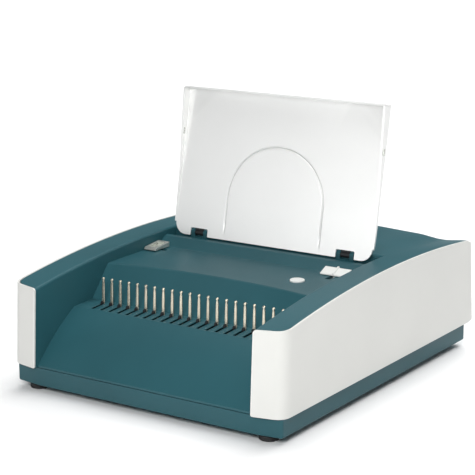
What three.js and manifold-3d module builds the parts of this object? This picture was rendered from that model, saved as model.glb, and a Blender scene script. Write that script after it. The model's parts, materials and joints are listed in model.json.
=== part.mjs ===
// An electric punch and comb binder for the desk, in millimetres.
// X runs to the right, Y to the back and Z up. The origin is on the table, under the middle of the body.
// Pieces are drawn with y = 0 at the front of the arms, and the whole machine is then centred.
import * as THREE from "three";
import { mergeVertices } from "three/addons/utils/BufferGeometryUtils.js";
import Module from "manifold-3d";

const wasm = await Module();
wasm.setup();

// ---- Driving dimensions ----

// The body
const bodyDepth = 512;
const armWidth = 43;
const footHeight = 8;
const baseTop = 33;
const armFrontTop = 140.4;
const armRearTop = 154;
const armRise = 17;
const frontLean = 6.3;
const rearLean = 9.4;
const armToe = 8.6;
const cornerRadius = 16;
const panelWall = 3;
const shellWall = 3;
const seam = 0.4;
const baseInset = 4.7;
const baseCorner = 4;
const baseToPanel = 1;
const topRecess = 0.8;

// The rear top
const crownRise = 5;
const valleyDepth = 3.5;
const rearPanelInset = 12;
const ventCount = 9;
const ventPitch = 14;
const ventWidth = 5;
const ventX = -40;
const ventLow = 92;
const ventHigh = 124;

const rearScrewInset = 12;
const rearScrewAboveDrawer = 9.5;
const rearScrewHigh = 130;
const screwRadius = 1.8;
const footInset = 31.4;
const footRadius = 13;
const frontFootBack = 17;
const rearFootAhead = 62;

// The document ramp, comb ledge and deck
const rampFront = 8;
const rampLip = 3.2;
const rampEnd = 85;
const rampCrown = 5;
const ledgeTop = 100;
const ledgeDepth = 38;
const slopeGap = 0.6;
const deckAboveFront = 2.1;
const deckRise = 1;
const creaseY = 160;
const creaseBow = 19;
const riserRun = 17;
const stripHeight = 12;
const stripDepth = 7;

// The comb
const combPitch = 14.2875;
const combTeeth = 21;
const tineY = 115;
const tineTop = 135;
const tineWidth = 4.6;
const tineThickness = 2;
const tineLean = 2;
const rakeBarHeight = 8;
const rakeEnd = 7;
const hookThickness = 2.2;
const hookReach = 3;
const openerTravel = 18;
const slotClearance = 0.8;
const linkWall = 4;

// The lid
const hingeY = 311.1;
const hingeAboveDeck = 18.2;
const hingeAboveShelf = 11;
const lidLean = THREE.MathUtils.degToRad(11.8);
const lidLength = 206;
const lidTail = 5;
const lidTailGap = 4.5;
const lidWall = 3;
const lidFaceOffset = 4;
const lidSideGap = 6;
const lidCorner = 17;
const lidLip = 15;
const lidSideLip = 3;
const lidLipTaperEnd = 85;
const lidLipWall = 2.4;
const archRadius = 78;
const archCentre = 55;
const archGroove = 4;
const archDepth = 1.2;
const tabPlace = 142;
const tabLength = 9;
const hingeInset = 43.5;
const bracketWidth = 27;
const bracketRadius = 4.6;
const bracketToThroat = 1.9;
const notchGap = 1.6;
const knuckleWidth = 14;
const knuckleRadius = 4;
const knuckleGap = 1.7;
const knuckleWeb = 6.4;
const hingePinRadius = 2;

// The throat and the punch
const throatGap = 5.3;
const punchBelowDeck = 30.5;
const plateWall = 4.2;
const punchHoleWidth = 8;
const punchHoleHeight = 3;
const pinClearance = 0.25;
const eccentricity = 6;
const eccentricRadius = 12;
const yokeClearance = 1.8;
const yokeWall = 4.5;
const yokeInset = 25;
const yokeThickness = 6;
const shaftRadius = 5;
const shaftBehindThroat = 47.4;
const runningGap = 0.3;
const punchEndGap = 1.2;
const frameWall = 3;
const frameBeyondRake = 10.125;
const frameToArm = 9.5;
const frameBelowDeck = 6.5;

// The gear train
const gearModule = 1.9;
const camTeeth = 32;
const idlerTeeth = 20;
const pinionTeeth = 10;
const gearFace = 7;
const gearStandOff = 11;
const motorToPlate = 3.5;
const motorRadius = 22;
const motorLength = 74;
const motorNoseRadius = 7;
const motorShaftRadius = 2.5;
const axleRadius = 3;
const bushRadius = 8;

// The chip drawer
const drawerToFrame = 10;
const drawerBottom = 35.5;
const drawerHeight = 26;
const drawerFrontY = 272;
const drawerWall = 2;
const drawerFaceRise = 4;
const drawerFaceGap = 1;
const drawerToPlate = 5;
const plateThickness = 2;

// Controls
const buttonRadius = 10;
const buttonToArm = 68.5;
const buttonY = 217;
const buttonProud = 2;
const buttonSkirt = 5;
const buttonStem = 9;
const buttonTravel = 2.5;
const buttonSlack = 0.9;
const leverToArm = 39.5;
const leverToRiser = 0.3;
const leverWidth = 40;
const leverDepth = 16;
const leverHeight = 8;
const leverFrontHeight = 2;
const leverFin = 3;
const leverStem = 6;
const stemClearance = 1;
const shutterThickness = 1.5;
const shutterGap = 0.4;
const shutterHalfWidth = 7;
const shutterLap = 1;
const guideWidth = 20;
const guideLength = 34;
const guideToRiser = 1;
const guideToArm = 1.5;
const guideHeight = 7;
const guideTravel = 12;
const guideTongue = 6;
const guideTongueInset = 7;
const boardBelowDeck = 15.5;
const boardThickness = 1.6;
const boardDepth = 68;
const boardInset = 6;

// Power
const supplyX = -80;
const supplyY = 201;
const coreHalfWidth = 40;
const coreHalfDepth = 31;
const coreHeight = 54;
const windingInset = 12;
const windingProud = 12;
const windingMargin = 10;
const windingCorner = 8;
const inletToSide = 26.5;
const inletZ = 100;
const inletHalfWidth = 14;
const inletHalfHeight = 10;
const inletDepth = 26;
const switchToInlet = 48;
const switchHalfWidth = 10;
const switchHalfHeight = 12;
const flangeRim = 3;
const rockerTilt = THREE.MathUtils.degToRad(7);
const rockerBehindPanel = 6.2;

// ---- Sizes that follow from them ----

const rakeHalf = ((combTeeth - 1) / 2) * combPitch + rakeEnd;
const frameX = rakeHalf + frameBeyondRake;
const armInner = frameX + frameToArm;
const halfWidth = armInner + armWidth;
const panelInner = halfWidth - panelWall;
const shellOuter = panelInner - seam;
const topFrontY = frontLean;
const topRearY = bodyDepth - rearLean;
const leanPerHeight = frontLean / (armFrontTop - baseTop);
const deckTop = armFrontTop + deckAboveFront;
const deckRear = deckTop + deckRise;
const hingeZ = deckTop + hingeAboveDeck;
const punchZ = deckTop - punchBelowDeck;
const frameTop = deckTop - frameBelowDeck;
const throatRear = hingeY - bracketRadius - bracketToThroat;
const throatFront = throatRear - throatGap;
const gutterRear = hingeY + lidTail + lidTailGap;
const shelfTop = hingeZ - hingeAboveShelf;
const stripTop = deckRear + stripHeight;
const riserTopY = throatFront - stripDepth;
const riserFootY = riserTopY - riserRun;
const ledgeRear = tineY + 9;
const ledgeFront = ledgeRear - ledgeDepth;
const deckHalf = armInner - seam;
const lidHalf = armInner - lidSideGap;
const hingeX = lidHalf - hingeInset;
const shaftY = throatRear + shaftBehindThroat;
const rearPanelY = bodyDepth - rearPanelInset;
const drawerRear = rearPanelY - seam;
const drawerHalfWidth = frameX - drawerToFrame;
const drawerFaceTop = drawerBottom + drawerHeight + drawerFaceRise;
const firstTooth = (-(combTeeth - 1) / 2) * combPitch;
const toothX = Array.from({ length: combTeeth }, (_, i) => firstTooth + i * combPitch);
const punchHalf = frameX - seam;
const yokeX = frameX - yokeInset;
const plateTop = drawerBottom + drawerHeight + drawerToPlate + plateThickness;
const motorZ = plateTop + motorToPlate + motorRadius;
const idlerZ = motorZ;
const idlerDrop = punchZ - idlerZ;
const floorZ = footHeight + shellWall + seam;
const gearX = frameX + frameWall + gearStandOff;
const buttonX = armInner - buttonToArm;
const buttonTop = deckTop + (deckRise * (buttonY - creaseY)) / (riserFootY - creaseY) + buttonProud;
const leverX = armInner - leverToArm;
const leverY = riserFootY - leverToRiser - leverDepth / 2;
const guideFront = riserFootY - guideToRiser - guideLength;
const tongueX = -armInner + guideToArm + guideTongueInset;
const tongueY = guideFront + (guideLength - guideTongue) / 2;
const boardTop = deckTop - boardBelowDeck;
const boardX = buttonX - 30;
const boardY = 228;
const boardWidth = 98;
const inletX = halfWidth - inletToSide;
const switchX = inletX - switchToInlet;
const rearScrewLow = drawerFaceTop + drawerFaceGap + rearScrewAboveDrawer;

// ---- Materials ----

function paint(color, roughness, metalness) {
  return new THREE.MeshStandardMaterial({ color, roughness, metalness });
}
const teal = () => paint(0x2c5f68, 0.35, 0);
const cream = () => paint(0xdcdcd4, 0.45, 0.1);
const white = () => paint(0xf2f2ee, 0.5, 0);
const black = () => paint(0x1c1e1f, 0.7, 0);
const steel = () => paint(0xb8b6ac, 0.35, 0.9);
const darkSteel = () => paint(0x4b4d4e, 0.5, 0.8);
const brass = () => paint(0xb99a55, 0.4, 0.9);
const board = () => paint(0x2e6b45, 0.6, 0);

// ---- Joining and cutting ----

function solid(geometry) {
  const bare = geometry.clone();
  bare.deleteAttribute("normal");
  bare.deleteAttribute("uv");
  const merged = mergeVertices(bare, 1e-4);
  return new wasm.Manifold(
    new wasm.Mesh({
      numProp: 3,
      vertProperties: new Float32Array(merged.attributes.position.array),
      triVerts: new Uint32Array(merged.index.array),
    }),
  );
}

function geometryOf(manifold) {
  const mesh = manifold.getMesh();
  const geometry = new THREE.BufferGeometry();
  geometry.setAttribute("position", new THREE.BufferAttribute(mesh.vertProperties, 3));
  geometry.setIndex(new THREE.BufferAttribute(mesh.triVerts, 1));
  return geometry;
}

function join(...geometries) {
  const [first, ...rest] = geometries.map(solid);
  return geometryOf(rest.reduce((whole, piece) => whole.add(piece), first));
}

function cut(geometry, ...tools) {
  return geometryOf(tools.map(solid).reduce((whole, tool) => whole.subtract(tool), solid(geometry)));
}

function common(a, b) {
  return geometryOf(solid(a).intersect(solid(b)));
}

// ---- Basic shapes ----

// A box between two corners.
function block(x0, x1, y0, y1, z0, z1) {
  const box = new THREE.BoxGeometry(x1 - x0, y1 - y0, z1 - z0);
  return box.translate((x0 + x1) / 2, (y0 + y1) / 2, (z0 + z1) / 2);
}

// A plan outline in (x, y), raised from z0 to z1.
function slabZ(outline, z0, z1, curveSegments = 8) {
  const slab = new THREE.ExtrudeGeometry(outline, { depth: z1 - z0, bevelEnabled: false, curveSegments });
  return slab.translate(0, 0, z0);
}

// A front-view outline in (x, z), from y0 back to y1.
function slabY(outline, y0, y1, curveSegments = 8) {
  const slab = new THREE.ExtrudeGeometry(outline, { depth: y1 - y0, bevelEnabled: false, curveSegments });
  return slab.rotateX(Math.PI / 2).translate(0, y1, 0);
}

// A side-view outline in (y, z), from x0 across to x1.
function slabX(outline, x0, x1, curveSegments = 8, steps = 1) {
  const slab = new THREE.ExtrudeGeometry(outline, {
    depth: x1 - x0,
    bevelEnabled: false,
    curveSegments,
    steps,
  });
  const across = new THREE.Matrix4().set(0, 0, 1, x0, 1, 0, 0, 0, 0, 1, 0, 0, 0, 0, 0, 1);
  return slab.applyMatrix4(across);
}

// A round rod along X, with its near end at x0.
function rodX(radius, x0, x1, y, z, segments = 20) {
  const rod = new THREE.CylinderGeometry(radius, radius, x1 - x0, segments);
  return rod.rotateZ(Math.PI / 2).translate((x0 + x1) / 2, y, z);
}

// A round rod along Y.
function rodY(radius, y0, y1, x, z, segments = 16) {
  const rod = new THREE.CylinderGeometry(radius, radius, y1 - y0, segments);
  return rod.translate(x, (y0 + y1) / 2, z);
}

// A round rod along Z.
function rodZ(radius, z0, z1, x, y, segments = 24) {
  const rod = new THREE.CylinderGeometry(radius, radius, z1 - z0, segments);
  return rod.rotateX(Math.PI / 2).translate(x, y, (z0 + z1) / 2);
}

// A closed outline through straight points.
function outlineOf(points) {
  return new THREE.Shape(points.map(([a, b]) => new THREE.Vector2(a, b)));
}

// A rectangle with four round corners.
function roundedOutline(a0, a1, b0, b1, radius) {
  const shape = new THREE.Shape();
  shape.moveTo(a0 + radius, b0);
  shape.lineTo(a1 - radius, b0);
  shape.absarc(a1 - radius, b0 + radius, radius, -Math.PI / 2, 0);
  shape.lineTo(a1, b1 - radius);
  shape.absarc(a1 - radius, b1 - radius, radius, 0, Math.PI / 2);
  shape.lineTo(a0 + radius, b1);
  shape.absarc(a0 + radius, b1 - radius, radius, Math.PI / 2, Math.PI);
  shape.lineTo(a0, b0 + radius);
  shape.absarc(a0 + radius, b0 + radius, radius, Math.PI, 1.5 * Math.PI);
  return shape;
}

// A mirror image in X, with its faces still pointing out.
function mirrored(geometry) {
  return geometryOf(solid(geometry).mirror([1, 0, 0]));
}

function piece(name, geometry, material) {
  const mesh = new THREE.Mesh(geometry, material);
  mesh.name = name;
  return mesh;
}

// Two copies of a piece, the second one the mirror image of the first.
function pair(rightName, leftName, geometry, material) {
  return [piece(rightName, geometry, material()), piece(leftName, mirrored(geometry), material())];
}

// ---- The crown line of the arms, seen from the side ----

// Height of the arm tops at a distance y from the front.
function crownAt(y) {
  const t = (y - topFrontY) / (topRearY - topFrontY);
  return armFrontTop + (armRearTop - armFrontTop) * t + 4 * armRise * t * (1 - t);
}

// The crown line between two distances, as a curve that a shape can follow.
function followCrown(shape, yFrom, yTo, drop) {
  const middle = (yFrom + yTo) / 2;
  const zFrom = crownAt(yFrom);
  const zTo = crownAt(yTo);
  const control = 2 * crownAt(middle) - (zFrom + zTo) / 2;
  shape.quadraticCurveTo(middle, control - drop, yTo, zTo - drop);
}

// The area under the crown line, from zLow up, between two distances.
function underCrown(yFront, yRear, zLow, drop, rearShift = 0) {
  const shape = new THREE.Shape();
  shape.moveTo(yFront, zLow);
  shape.lineTo(yRear + rearShift, zLow);
  shape.lineTo(yRear, crownAt(yRear) - drop);
  followCrown(shape, yRear, yFront, drop);
  shape.closePath();
  return shape;
}

// A strip of even thickness under the crown line.
function crownStrip(yFront, yRear, drop, thickness) {
  const shape = new THREE.Shape();
  shape.moveTo(yFront, crownAt(yFront) - drop - thickness);
  followCrown(shape, yFront, yRear, drop + thickness);
  shape.lineTo(yRear, crownAt(yRear) - drop);
  followCrown(shape, yRear, yFront, drop);
  shape.closePath();
  return shape;
}

// Leans a geometry back, as the front of each arm does.
function leanBack(geometry) {
  const lean = new THREE.Matrix4().set(
    1, 0, 0, 0,
    0, 1, leanPerHeight, -leanPerHeight * baseTop,
    0, 0, 1, 0,
    0, 0, 0, 1,
  );
  return geometry.applyMatrix4(lean);
}

// ---- Shells ----

// The L-shaped plan of a side panel: the flank, the round corner and the arm's front.
function panelPlan() {
  const noseX = halfWidth - cornerRadius;
  const noseY = (armToe * (noseX - armInner)) / armWidth;
  const shape = new THREE.Shape();
  shape.moveTo(armInner, 0);
  shape.lineTo(noseX, noseY);
  shape.quadraticCurveTo(halfWidth, armToe, halfWidth, armToe + cornerRadius);
  shape.lineTo(halfWidth, bodyDepth);
  shape.lineTo(panelInner, bodyDepth);
  shape.lineTo(panelInner, armToe + cornerRadius + panelWall);
  shape.quadraticCurveTo(panelInner, armToe + panelWall, noseX, noseY + panelWall);
  shape.lineTo(armInner, panelWall);
  shape.closePath();
  return shape;
}

function sidePanels() {
  const wall = leanBack(slabZ(panelPlan(), baseTop, armRearTop + armRise, 6));
  const front = new THREE.Shape();
  front.moveTo(-cornerRadius, baseTop + seam);
  front.lineTo(bodyDepth, baseTop + seam);
  front.lineTo(topRearY, armRearTop);
  followCrown(front, topRearY, topFrontY, 0);
  front.lineTo(-cornerRadius, armFrontTop);
  front.closePath();
  const side = slabX(front, 0, 2 * halfWidth, 16);
  return pair("right_side_panel", "left_side_panel", common(wall, side), cream);
}

// The rise and fall of the rear top across the machine: a crown in the middle and a valley beside each arm.
function rearContour(x) {
  const share = Math.abs(x) / armInner;
  const crown = share < 1 ? (crownRise * (1 + Math.cos(Math.PI * share))) / 2 : 0;
  const valley = Math.max(0, 1 - Math.abs(Math.abs(x) - armInner) / (armWidth - panelWall));
  return crown - valleyDepth * valley * valley * (3 - 2 * valley);
}

function rearTop() {
  const rearEdge = topRearY - 2;
  const plate = slabX(crownStrip(gutterRear, rearEdge, topRecess, shellWall), -shellOuter, shellOuter, 6, 22);
  const position = plate.attributes.position;
  for (let i = 0; i < position.count; i += 1) {
    const lift = rearContour(position.getX(i)) * rearShare(position.getY(i));
    position.setZ(i, position.getZ(i) + lift);
  }
  return plate;
}

// The arm tops and inner walls, the gutter under the lid hinge and the rear top, as one moulding.
function upperHousing() {
  const overlap = 4;
  const innerFrontY = panelWall + seam;
  const noseX = halfWidth - cornerRadius;
  const noseY = (armToe * (noseX - armInner)) / armWidth + innerFrontY;
  const armTopPlan = new THREE.Shape();
  armTopPlan.moveTo(armInner, innerFrontY);
  armTopPlan.lineTo(noseX - seam, noseY);
  armTopPlan.quadraticCurveTo(
    shellOuter,
    armToe + innerFrontY,
    shellOuter,
    armToe + cornerRadius + innerFrontY + seam,
  );
  armTopPlan.lineTo(shellOuter, gutterRear + overlap);
  armTopPlan.lineTo(armInner, gutterRear + overlap);
  armTopPlan.closePath();
  const topBand = slabX(crownStrip(0, gutterRear + overlap, topRecess, shellWall), 0, halfWidth, 10);
  const armTop = common(leanBack(slabZ(armTopPlan, baseTop, armRearTop + armRise, 6)), topBand);
  const innerPlan = outlineOf([
    [armInner, innerFrontY],
    [armInner + shellWall, innerFrontY + (armToe * shellWall) / armWidth],
    [armInner + shellWall, gutterRear + overlap],
    [armInner, gutterRear + overlap],
  ]);
  const wallBand = slabX(underCrown(0, gutterRear + overlap, baseTop + seam, topRecess), 0, halfWidth, 10);
  const innerWall = common(leanBack(slabZ(innerPlan, baseTop, armRearTop + armRise)), wallBand);
  const arm = join(armTop, innerWall);
  const gutterWall = slabX(
    underCrown(gutterRear, gutterRear + shellWall, shelfTop - shellWall, topRecess + 0.5),
    -armInner - 1,
    armInner + 1,
  );
  const shelf = block(
    -armInner - 1,
    armInner + 1,
    throatRear,
    gutterRear + shellWall,
    shelfTop - shellWall,
    shelfTop,
  );
  return piece("upper_housing", join(rearTop(), arm, mirrored(arm), gutterWall, shelf), teal());
}

// The shallow pan that everything stands on.
function basePan() {
  const outerX = halfWidth - baseInset;
  const rearY = rearPanelY - baseToPanel;
  const plan = (inset) => {
    const shape = new THREE.Shape();
    const x = outerX - inset;
    const front = rampFront + inset;
    const nose = front + armToe / 2;
    shape.moveTo(-armInner, front);
    shape.lineTo(armInner, front);
    shape.lineTo(x - baseCorner, nose);
    shape.quadraticCurveTo(x, nose, x, nose + baseCorner);
    shape.lineTo(x, rearY - inset);
    shape.lineTo(-x, rearY - inset);
    shape.lineTo(-x, nose + baseCorner);
    shape.quadraticCurveTo(-x, nose, -x + baseCorner, nose);
    shape.closePath();
    return shape;
  };
  const outer = slabZ(plan(0), footHeight, baseTop, 5);
  const inner = slabZ(plan(shellWall), footHeight + shellWall, baseTop + 1, 5);
  return piece("base_pan", cut(outer, inner), teal());
}

// The sloping rest for the document, from the front lip up to the comb ledge.
function documentRamp() {
  const top = ledgeTop - 2;
  const middleY = (rampFront + rampEnd) / 2;
  const middleZ = (baseTop + rampLip + top) / 2 + 2 * rampCrown;
  const shape = new THREE.Shape();
  shape.moveTo(rampFront, baseTop + seam);
  shape.lineTo(rampFront + 2 * shellWall, baseTop + seam);
  shape.quadraticCurveTo(middleY + shellWall, middleZ - shellWall, rampEnd, top - shellWall);
  shape.lineTo(rampEnd, top);
  shape.quadraticCurveTo(middleY, middleZ, rampFront, baseTop + rampLip);
  shape.closePath();
  return piece("document_ramp", slabX(shape, -deckHalf, deckHalf, 10), teal());
}

// The flat ledge behind the ramp, with a slot for each finger and hook.
function combLedge() {
  const lip = slabX(
    outlineOf([
      [ledgeFront, ledgeTop - 2 - shellWall],
      [ledgeRear, ledgeTop - shellWall],
      [ledgeRear, ledgeTop],
      [ledgeFront, ledgeTop - 2],
    ]),
    -deckHalf,
    deckHalf,
  );
  const halfSlot = tineWidth / 2 + slotClearance;
  const slotRear = tineY + tineThickness / 2 + tineLean + slotClearance;
  const slotFront = tineY - tineThickness - hookThickness * 2 - openerTravel - slotClearance;
  const slots = toothX.map((x) =>
    block(x - halfSlot, x + halfSlot, slotFront, slotRear, ledgeTop - 10, ledgeTop + 5),
  );
  return piece("comb_ledge", cut(lip, ...slots), teal());
}

// The outline of the deck from the comb ledge over the crease, along the deck and up the riser.
function deckProfile() {
  const slopeFoot = ledgeRear + slopeGap;
  const under = shellWall * 1.15;
  const lowY = throatFront - shellWall;
  return outlineOf([
    [slopeFoot, ledgeTop - shellWall],
    [slopeFoot + under, ledgeTop - shellWall],
    [creaseY + under, deckTop - shellWall],
    [riserFootY + shellWall, deckRear - shellWall],
    [riserTopY + shellWall, stripTop - shellWall - 1],
    [lowY, stripTop - shellWall - 1],
    [lowY, deckRear - shellWall - 8],
    [throatFront, deckRear - shellWall - 8],
    [throatFront, stripTop],
    [riserTopY, stripTop - 1],
    [riserFootY, deckRear],
    [creaseY, deckTop],
    [slopeFoot, ledgeTop],
  ]);
}

// The deck between the arms. Its front crease bows back in the middle.
function deckCover() {
  const shell = slabX(deckProfile(), -deckHalf, deckHalf, 4, 16);
  const position = shell.attributes.position;
  for (let i = 0; i < position.count; i += 1) {
    const x = position.getX(i) / deckHalf;
    const y = position.getY(i);
    const climb = THREE.MathUtils.clamp((position.getZ(i) - ledgeTop) / (deckTop - ledgeTop), 0, 1);
    const nearCrease = y < (creaseY + riserFootY) / 2 ? climb : 0;
    position.setY(i, y + creaseBow * (1 - x * x) * nearCrease);
  }
  const under = deckRear - shellWall + 0.8;
  const stemHalf = leverStem / 2 + stemClearance;
  const bosses = boardCorners().map(([x, y]) => rodZ(3, boardTop + 0.3, under, x, y, 10));
  const cutLow = deckTop - 20;
  const cutHigh = deckTop + 20;
  const leverSlot = block(
    leverX - stemHalf,
    leverX + stemHalf,
    leverY - openerTravel - stemHalf - 1,
    leverY + stemHalf + 1,
    cutLow,
    cutHigh,
  );
  const guideSlot = block(
    tongueX - 2,
    tongueX + guideTongue + guideTravel + 2,
    tongueY - 1,
    tongueY + guideTongue + 1,
    cutLow,
    cutHigh,
  );
  const buttonBore = rodZ(buttonRadius + 0.5, cutLow, cutHigh, buttonX, buttonY, 28);
  return piece("deck_cover", cut(join(shell, ...bosses), leverSlot, guideSlot, buttonBore), teal());
}

// How much of the rear contour is reached at a distance y from the front.
function rearShare(y) {
  return (y - gutterRear) / (topRearY - gutterRear);
}

// The back wall above the chip drawer, with vents and openings for the inlet and the switch.
function rearPanel() {
  const low = drawerFaceTop + drawerFaceGap;
  const underTop = crownAt(rearPanelY - shellWall) - topRecess - shellWall - 3 * seam;
  const stations = 18;
  const topEdge = Array.from({ length: stations + 1 }, (_, i) => {
    const x = shellOuter - (2 * shellOuter * i) / stations;
    return [x, underTop + rearContour(x) * rearShare(rearPanelY)];
  });
  const outline = outlineOf([[-shellOuter, low], [shellOuter, low], ...topEdge]);
  const wall = slabY(outline, rearPanelY - shellWall, rearPanelY);
  const vents = Array.from({ length: ventCount }, (_, i) => {
    const x = (i - (ventCount - 1) / 2) * ventPitch + ventX;
    return block(x - ventWidth / 2, x + ventWidth / 2, rearPanelY - 10, rearPanelY + 5, ventLow, ventHigh);
  });
  const holes = [
    panelHole(inletX, inletHalfWidth, inletHalfHeight),
    panelHole(switchX, switchHalfWidth, switchHalfHeight),
    ...screwPlaces().map(([x, z]) => rodY(screwRadius + seam, rearPanelY - 10, rearPanelY + 5, x, z, 10)),
  ];
  return piece("rear_panel", cut(wall, ...vents, ...holes), teal());
}

// The opening in the rear panel for a socket or switch body.
function panelHole(x, halfX, halfZ) {
  const w = halfX + seam;
  const h = halfZ + seam;
  return block(x - w, x + w, rearPanelY - 10, rearPanelY + 5, inletZ - h, inletZ + h);
}

function screwPlaces() {
  const x = shellOuter - rearScrewInset;
  return [
    [x, rearScrewLow],
    [-x, rearScrewLow],
    [x, rearScrewHigh],
    [-x, rearScrewHigh],
  ];
}

function rearScrews() {
  return screwPlaces().map(([x, z], i) => {
    const profile = [
      [0, -8],
      [screwRadius, -8],
      [screwRadius, seam],
      [3.8, seam],
      [3.4, 1.8],
      [2, 2.5],
      [0, 2.7],
    ].map(([r, h]) => new THREE.Vector2(r, h));
    const screw = new THREE.LatheGeometry(profile, 8).translate(x, rearPanelY, z);
    return piece("rear_screw_" + (i + 1), screw, steel());
  });
}

function feet() {
  const profile = [
    [0, 0],
    [footRadius - 2, 0],
    [footRadius - 0.4, 1.4],
    [footRadius, footHeight - seam],
    [0, footHeight - seam],
  ].map(([r, h]) => new THREE.Vector2(r, h));
  const front = rampFront + frontFootBack;
  const rear = rearPanelY - rearFootAhead;
  const x = halfWidth - footInset;
  return [
    ["foot_front_right", x, front],
    ["foot_front_left", -x, front],
    ["foot_rear_right", x, rear],
    ["foot_rear_left", -x, rear],
  ].map(([name, footX, footY]) => {
    const foot = piece(name, new THREE.LatheGeometry(profile, 18).rotateX(Math.PI / 2), black());
    foot.position.set(footX, footY, 0);
    return foot;
  });
}

// ---- The comb opener ----

// The fixed fingers: one plate with a tooth for each ring of the comb.
function tineRake() {
  const shape = new THREE.Shape();
  const half = tineWidth / 2;
  const tipHalf = half - 0.7;
  const base = ledgeTop - 12;
  shape.moveTo(-rakeHalf, base - rakeBarHeight);
  shape.lineTo(rakeHalf, base - rakeBarHeight);
  shape.lineTo(rakeHalf, base);
  [...toothX].reverse().forEach((x) => {
    shape.lineTo(x + half, base);
    shape.lineTo(x + tipHalf, tineTop - tipHalf);
    shape.absarc(x, tineTop - tipHalf, tipHalf, 0, Math.PI);
    shape.lineTo(x - half, base);
  });
  shape.lineTo(-rakeHalf, base);
  shape.closePath();
  const rake = slabY(shape, tineY - tineThickness / 2, tineY + tineThickness / 2, 4);
  const position = rake.attributes.position;
  for (let i = 0; i < position.count; i += 1) {
    const rise = Math.max(0, (position.getZ(i) - base) / (tineTop - base));
    position.setY(i, position.getY(i) + tineLean * rise);
  }
  return piece("tine_rake", rake, steel());
}

// The wall that the rake is fixed to.
function rakeSupport() {
  const y = tineY + tineThickness / 2 + seam;
  const half = leverX - linkWall - 2;
  const wall = block(-half, half, y, y + 3, floorZ, ledgeTop - 14);
  const foot = block(-half, half, y, y + 16, floorZ, floorZ + 3);
  return piece("rake_support", join(wall, foot), darkSteel());
}

// The sliding bar with a small hook in front of each finger.
function hookBar() {
  const rear = tineY - tineThickness / 2 - seam;
  const front = rear - hookThickness;
  const shape = new THREE.Shape();
  const half = tineWidth / 2 - 0.3;
  const base = ledgeTop - 14;
  shape.moveTo(-rakeHalf, base - 8);
  shape.lineTo(rakeHalf, base - 8);
  shape.lineTo(rakeHalf, base);
  [...toothX].reverse().forEach((x) => {
    shape.lineTo(x + half, base);
    shape.lineTo(x + half, ledgeTop + hookReach - 2);
    shape.lineTo(x + half - 1.2, ledgeTop + hookReach);
    shape.lineTo(x - half + 1.2, ledgeTop + hookReach);
    shape.lineTo(x - half, ledgeTop + hookReach - 2);
    shape.lineTo(x - half, base);
  });
  shape.lineTo(-rakeHalf, base);
  shape.closePath();
  return piece("hook_bar", slabY(shape, front, rear), darkSteel());
}

// The bent strip that carries the hook bar, under the deck.
function openerLinks() {
  const low = ledgeTop - 34;
  const front = tineY - tineThickness / 2 - hookThickness - 2 * seam;
  const height = 10;
  const high = deckTop - 26.5;
  const strip = outlineOf([
    [front - 3, low],
    [tineY + 26, low],
    [leverY - 50, high],
    [leverY + 6, high],
    [leverY + 6, high + height],
    [leverY - 56, high + height],
    [tineY + 20, low + height],
    [front, low + height],
    [front, low + 2 * height],
    [front - 3, low + 2 * height],
  ]);
  const link = slabX(strip, leverX - linkWall / 2, leverX + linkWall / 2);
  return pair("opener_link_right", "opener_link_left", link, steel);
}

// The white paddle that slides the hook bar, with a fin to push on.
function openerLever() {
  const low = deckRear + 0.5;
  const front = leverY - leverDepth / 2;
  const rear = leverY + leverDepth / 2;
  const wedge = (rise) => [
    [front, low],
    [rear, low],
    [rear, low + leverHeight + rise],
    [rear - 2, low + leverHeight + rise],
    [front, low + leverFrontHeight + rise],
  ];
  const paddle = slabX(outlineOf(wedge(0)), leverX - leverWidth / 2, leverX + leverWidth / 2);
  const fin = slabX(outlineOf(wedge(2)), leverX - leverFin / 2, leverX + leverFin / 2);
  const half = leverStem / 2;
  const stem = block(leverX - half, leverX + half, leverY - half, leverY + half, deckTop - 16.1, low + 1);
  return piece("opener_lever", join(paddle, fin, stem), white());
}

// The strip under the deck that travels with the lever and keeps its slot closed.
function slotShutter() {
  const under = deckTop - shellWall - shutterGap;
  const reach = leverStem / 2 + 2 * stemClearance + shutterLap;
  const shape = block(
    leverX - shutterHalfWidth,
    leverX + shutterHalfWidth,
    leverY - openerTravel - reach,
    leverY + reach + openerTravel,
    under - shutterThickness,
    under,
  );
  const half = leverStem / 2 + seam;
  const hole = block(leverX - half, leverX + half, leverY - half, leverY + half, under - 5, under + 5);
  return piece("slot_shutter", cut(shape, hole), teal());
}

// ---- Controls on the deck ----

// Where the board's four posts stand.
function boardCorners() {
  const dx = boardWidth / 2 - boardInset;
  const dy = boardDepth / 2 - boardInset;
  return [
    [boardX - dx, boardY - dy],
    [boardX + dx, boardY - dy],
    [boardX - dx, boardY + dy],
    [boardX + dx, boardY + dy],
  ];
}

function startButton() {
  const profile = [
    [0, buttonTop - buttonStem],
    [3, buttonTop - buttonStem],
    [3, buttonTop - buttonSkirt],
    [buttonRadius, buttonTop - buttonSkirt],
    [buttonRadius, buttonTop - 0.9],
    [buttonRadius - 1, buttonTop],
    [0, buttonTop + 0.4],
  ].map(([r, h]) => new THREE.Vector2(r, h));
  const cap = new THREE.LatheGeometry(profile, 28).rotateX(Math.PI / 2).translate(buttonX, buttonY, 0);
  return piece("start_button", cap, white());
}

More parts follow.
